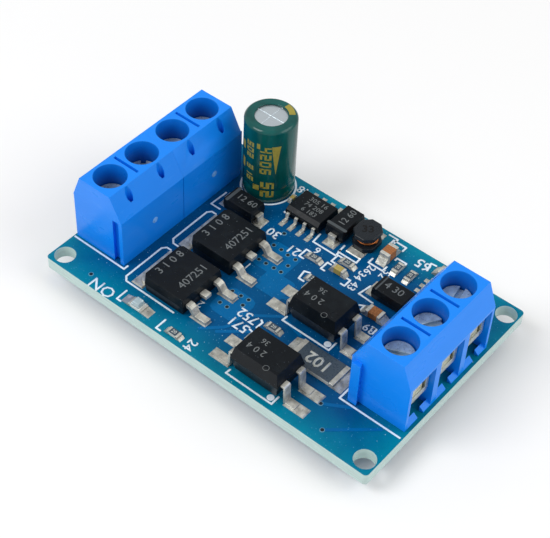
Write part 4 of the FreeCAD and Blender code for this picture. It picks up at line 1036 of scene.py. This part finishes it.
class MODULE_OT_capacitor(ModuleStep, bpy.types.Operator):
    """Finish the capacitor and print plain gold digits and fields on its sleeve"""

    bl_idname = "module.capacitor"
    bl_label = "Capacitor"

    # Bars of a seven-bar digit: left, right, foot and head, as shares of its size.
    digit_bars = {
        "a": (-0.5, 0.5, 0.8, 1.0), "b": (0.26, 0.5, 0.5, 1.0), "c": (0.26, 0.5, 0.0, 0.5),
        "d": (-0.5, 0.5, 0.0, 0.2), "e": (-0.5, -0.26, 0.0, 0.5), "f": (-0.5, -0.26, 0.5, 1.0),
        "g": (-0.5, 0.5, 0.4, 0.6),
    }
    digits = {
        "0": "abcdef", "1": "bc", "2": "abged", "3": "abgcd", "4": "fgbc", "5": "afgcd",
        "6": "afgedc", "8": "abcdefg",
    }
    # Columns that read down the sleeve: words, angle from the X axis and height in degrees, then
    # the column's top above the sleeve's foot and the width of a digit in millimetres.
    columns = (
        ("502 316", 262, 18, 8.9, 0.66), ("4206", 300, 23, 8.75, 0.82), ("52", 306, 30, 3.3, 1.0),
        ("2", 280, 14, 2.6, 0.8), ("68 32 50", 120, 18, 9.2, 0.66),
    )
    # Plain bars: angle from the X axis and half width in degrees, lowest and highest place.
    bars = ((284, 3, 8.35, 9.1), (240, 4, 7.0, 8.2), (240, 4, 4.2, 5.6), (95, 5, 5.0, 6.6))

    def execute(self, context):
        look = context.scene.capacitor_look
        coat("capacitor_sleeve", shrunk_sleeve(look), 0.14 * MM)
        coat("capacitor_can", brushed_aluminium(look), 0.04 * MM)
        coat("capacitor_seal", soft_rubber(), 0.1 * MM)
        coat("capacitor_leads", plain_tin("wire_tin"), 0.05 * MM)
        low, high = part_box("capacitor_sleeve")
        self.centre = (low + high) / 2
        self.foot = low.z
        self.radius = (high.x - low.x) / 2 + look.print_lift
        fields = [self.field(*bar) for bar in self.bars]
        for column in self.columns:
            fields += self.column(*column)
        fields.append(self.wedge(322, 10, 4.6, 8.9))
        marks = thicken(join("sleeve_print", fields), FILM)
        marks = join("sleeve_print", [marks, self.shoulder_patch(look, high.z)])
        finish_piece(marks, screen_ink("gold_ink", look.gold, 0.3))
        return {"FINISHED"}

    def field(self, angle, half, low, high):
        """A printed field that follows the sleeve, cut from a thin tube."""
        deselect()
        bpy.ops.mesh.primitive_cylinder_add(
            vertices=144, radius=self.radius, depth=(high - low) * MM, end_fill_type="NOTHING",
            location=(self.centre.x, self.centre.y, self.foot + (low + high) / 2 * MM))
        return settle(keep_facing(bpy.context.object, angle, half))

    def column(self, words, angle, tall, high, wide):
        """A row of seven-bar digits that reads down the sleeve."""
        thinnest = 2.5  # degrees
        fields = []
        for place, figure in enumerate(words):
            centre = high - wide * (1.35 * place + 0.5)
            for bar in self.digits.get(figure, ""):
                left, right, foot, head = self.digit_bars[bar]
                turn = angle + tall * ((foot + head) / 2 - 0.5)
                fields.append(self.field(turn, max(tall * (head - foot) / 2, thinnest),
                                         centre - right * wide, centre - left * wide))
        return fields

    def wedge(self, angle, half, low, high):
        """A long field that tapers to a point at its foot."""
        tube = self.field(angle, half, low, high)
        turn = math.radians(angle)
        across = Vector((-math.sin(turn), math.cos(turn), 0))
        tip = Vector((self.centre.x + self.radius * math.cos(turn),
                      self.centre.y + self.radius * math.sin(turn), self.foot + low * MM))
        slope = math.sin(math.radians(half)) * self.radius / ((high - low) * MM)
        for side in (-1, 1):
            with editing(tube):
                bpy.ops.mesh.bisect(plane_co=tip, plane_no=across * side - Vector((0, 0, slope)),
                                    clear_outer=True)
        return tube

    def shoulder_patch(self, look, height):
        """The printed patch on the sleeve's top rim."""
        outer, width, angle, half = 2.78 * MM, 0.72 * MM, 62, 19
        patch = keep_facing(ring(0, 0, 0, outer, width, 96), angle, half)
        patch.location = (self.centre.x, self.centre.y, height + look.print_lift)
        return thicken(settle(patch), FILM)


class MODULE_OT_chips(ModuleStep, bpy.types.Operator):
    """Finish the chip resistors, ceramic capacitors and the indicator"""

    bl_idname = "module.chips"
    bl_label = "Chip parts"

    # Digits on the small resistors: middle in millimetres and turn in degrees.
    resistor_digits = (
        (-4.17, -13.6, 0), (3.48, -5.89, 0), (0.2, 5.28, 0), (3.61, 7.14, 0), (8.41, 10.36, 90),
        (10.2, 10.26, 90), (2.3, 2.57, 0),
    )

    def execute(self, context):
        look = context.scene.package_look
        tin = plated_metal("end_plating", look.tin, 0.24, 0.44, 0.3, 0.014, 0.4, 0.6)
        glass = fired_glass()
        coat("small_resistor_bodies", glass, 0.03 * MM)
        coat("power_resistor_body", glass, 0.05 * MM)
        tan = fired_ceramic("fired_tan", paint(176, 112, 62), paint(132, 82, 46),
                            paint(186, 166, 92), 5.0)
        white = fired_ceramic("fired_white", paint(232, 234, 228), paint(205, 210, 206))
        coat("ceramic_capacitor_bodies", tan, 0.05 * MM)
        coat("led_base_body", white, 0.03 * MM)
        coat("led_lens", clear_resin(), 0.14 * MM)
        for node in nodes_named("_ends"):
            coat(node, tin, 0.05 * MM)
        self.print_digits()
        return {"FINISHED"}

    def print_digits(self):
        """Plain digits on the resistors."""
        flats = []
        height = top("small_resistor_bodies") + LIFT
        for x, y, turn in self.resistor_digits:
            flats.append(lettering("20", x * MM, y * MM, height, 0.62 * MM, turn))
        large = middle("power_resistor_body")
        flats.append(lettering("102", large.x, large.y, top("power_resistor_body") + LIFT,
                               2.15 * MM, 180, 0.02))
        marks = thicken(join("resistor_print", flats), FILM)
        finish_piece(marks, screen_ink("resistor_ink", paint(205, 208, 200)))


class MODULE_OT_stage(ModuleStep, bpy.types.Operator):
    """Lay the pale floor and set the lamps, sky and camera"""

    bl_idname = "module.stage"
    bl_label = "Stage"

    def execute(self, context):
        look = context.scene.stage_look
        deselect()
        bpy.ops.mesh.primitive_plane_add(size=1.6, location=(0, 0, cad_box[0][2] - 0.02 * MM))
        floor = settle(bpy.context.object)
        floor.name = "floor"
        tones = (tuple(look.floor), dimmed(look.floor, 0.985))
        card = grained("pale_floor", 30.0, 2, tones, 0.8, 0.9, specular=0.1)
        floor.data.materials.append(card)
        self.lamp("key_lamp", (-0.16, -0.26, 0.34), look.key, 0.24)
        self.lamp("fill_lamp", (0.30, 0.14, 0.26), look.fill, 0.3)
        self.sky(context, look)
        bpy.ops.object.camera_add(
            location=(0.06595, -0.08735, 0.12219),
            rotation=(math.radians(42.76924), math.radians(-1.99428), math.radians(39.73560)))
        camera = bpy.context.object
        camera.name = "photo_camera"
        camera.data.lens = 94.63
        camera.data.sensor_width = 36.0
        context.scene.camera = camera
        context.scene.view_settings.view_transform = "Standard"
        return {"FINISHED"}

    def lamp(self, name, place, power, size):
        """A large soft lamp that faces the module."""
        deselect()
        aim = (Vector((0, 0, 0.004)) - Vector(place)).to_track_quat("-Z", "Y").to_euler()
        bpy.ops.object.light_add(type="AREA", location=place, rotation=aim)
        lamp = bpy.context.object
        lamp.name = name
        lamp.data.shape = "DISK"
        lamp.data.size = size
        lamp.data.energy = power

    def sky(self, context, look):
        """Even light from all round, white where it is seen directly or through the lens."""
        world = bpy.data.worlds.new("pale_sky")
        world.use_nodes = True
        nodes, links = world.node_tree.nodes, world.node_tree.links
        path = nodes.new("ShaderNodeLightPath")
        seen = nodes.new("ShaderNodeMath")
        seen.operation = "MAXIMUM"
        links.new(path.outputs["Is Camera Ray"], seen.inputs[0])
        links.new(path.outputs["Is Transmission Ray"], seen.inputs[1])
        strength = nodes.new("ShaderNodeMapRange")
        strength.inputs["To Min"].default_value = look.sky
        strength.inputs["To Max"].default_value = 1.0
        links.new(seen.outputs["Value"], strength.inputs["Value"])
        background = nodes["Background"]
        background.inputs["Color"].default_value = (1, 1, 1, 1)
        links.new(strength.outputs["Result"], background.inputs["Strength"])
        context.scene.world = world


# ---------------------------------------------------------------- panel and registration


steps = (
    MODULE_OT_board, MODULE_OT_print, MODULE_OT_terminals, MODULE_OT_clamps, MODULE_OT_packages,
    MODULE_OT_solder, MODULE_OT_inductor, MODULE_OT_capacitor, MODULE_OT_chips, MODULE_OT_stage,
)

looks = {
    "board_look": BoardLook, "print_look": PrintLook, "terminal_look": TerminalLook,
    "package_look": PackageLook, "inductor_look": InductorLook, "capacitor_look": CapacitorLook,
    "stage_look": StageLook,
}


class MODULE_PT_steps(bpy.types.Panel):
    """The steps and their settings in the sidebar"""

    bl_idname = "MODULE_PT_steps"
    bl_label = "Switch module"
    bl_space_type = "VIEW_3D"
    bl_region_type = "UI"
    bl_category = "Switch module"

    def draw(self, context):
        for step in steps:
            self.layout.operator(step.bl_idname)
        for name, look in looks.items():
            box = self.layout.box()
            box.label(text=look.__doc__)
            for setting in look.__annotations__:
                box.prop(getattr(context.scene, name), setting)


def register():
    """Makes the steps, settings and panel known to Blender."""
    for name, look in looks.items():
        bpy.utils.register_class(look)
        setattr(bpy.types.Scene, name, bpy.props.PointerProperty(type=look))
    for step in steps:
        bpy.utils.register_class(step)
    bpy.utils.register_class(MODULE_PT_steps)


def unregister():
    """Takes them out again."""
    bpy.utils.unregister_class(MODULE_PT_steps)
    for step in reversed(steps):
        bpy.utils.unregister_class(step)
    for name, look in looks.items():
        delattr(bpy.types.Scene, name)
        bpy.utils.unregister_class(look)


def main():
    """Runs every step in order."""
    register()
    for step in steps:
        family, name = step.bl_idname.split(".")
        getattr(getattr(bpy.ops, family), name)()


if __name__ == "__main__":
    main()
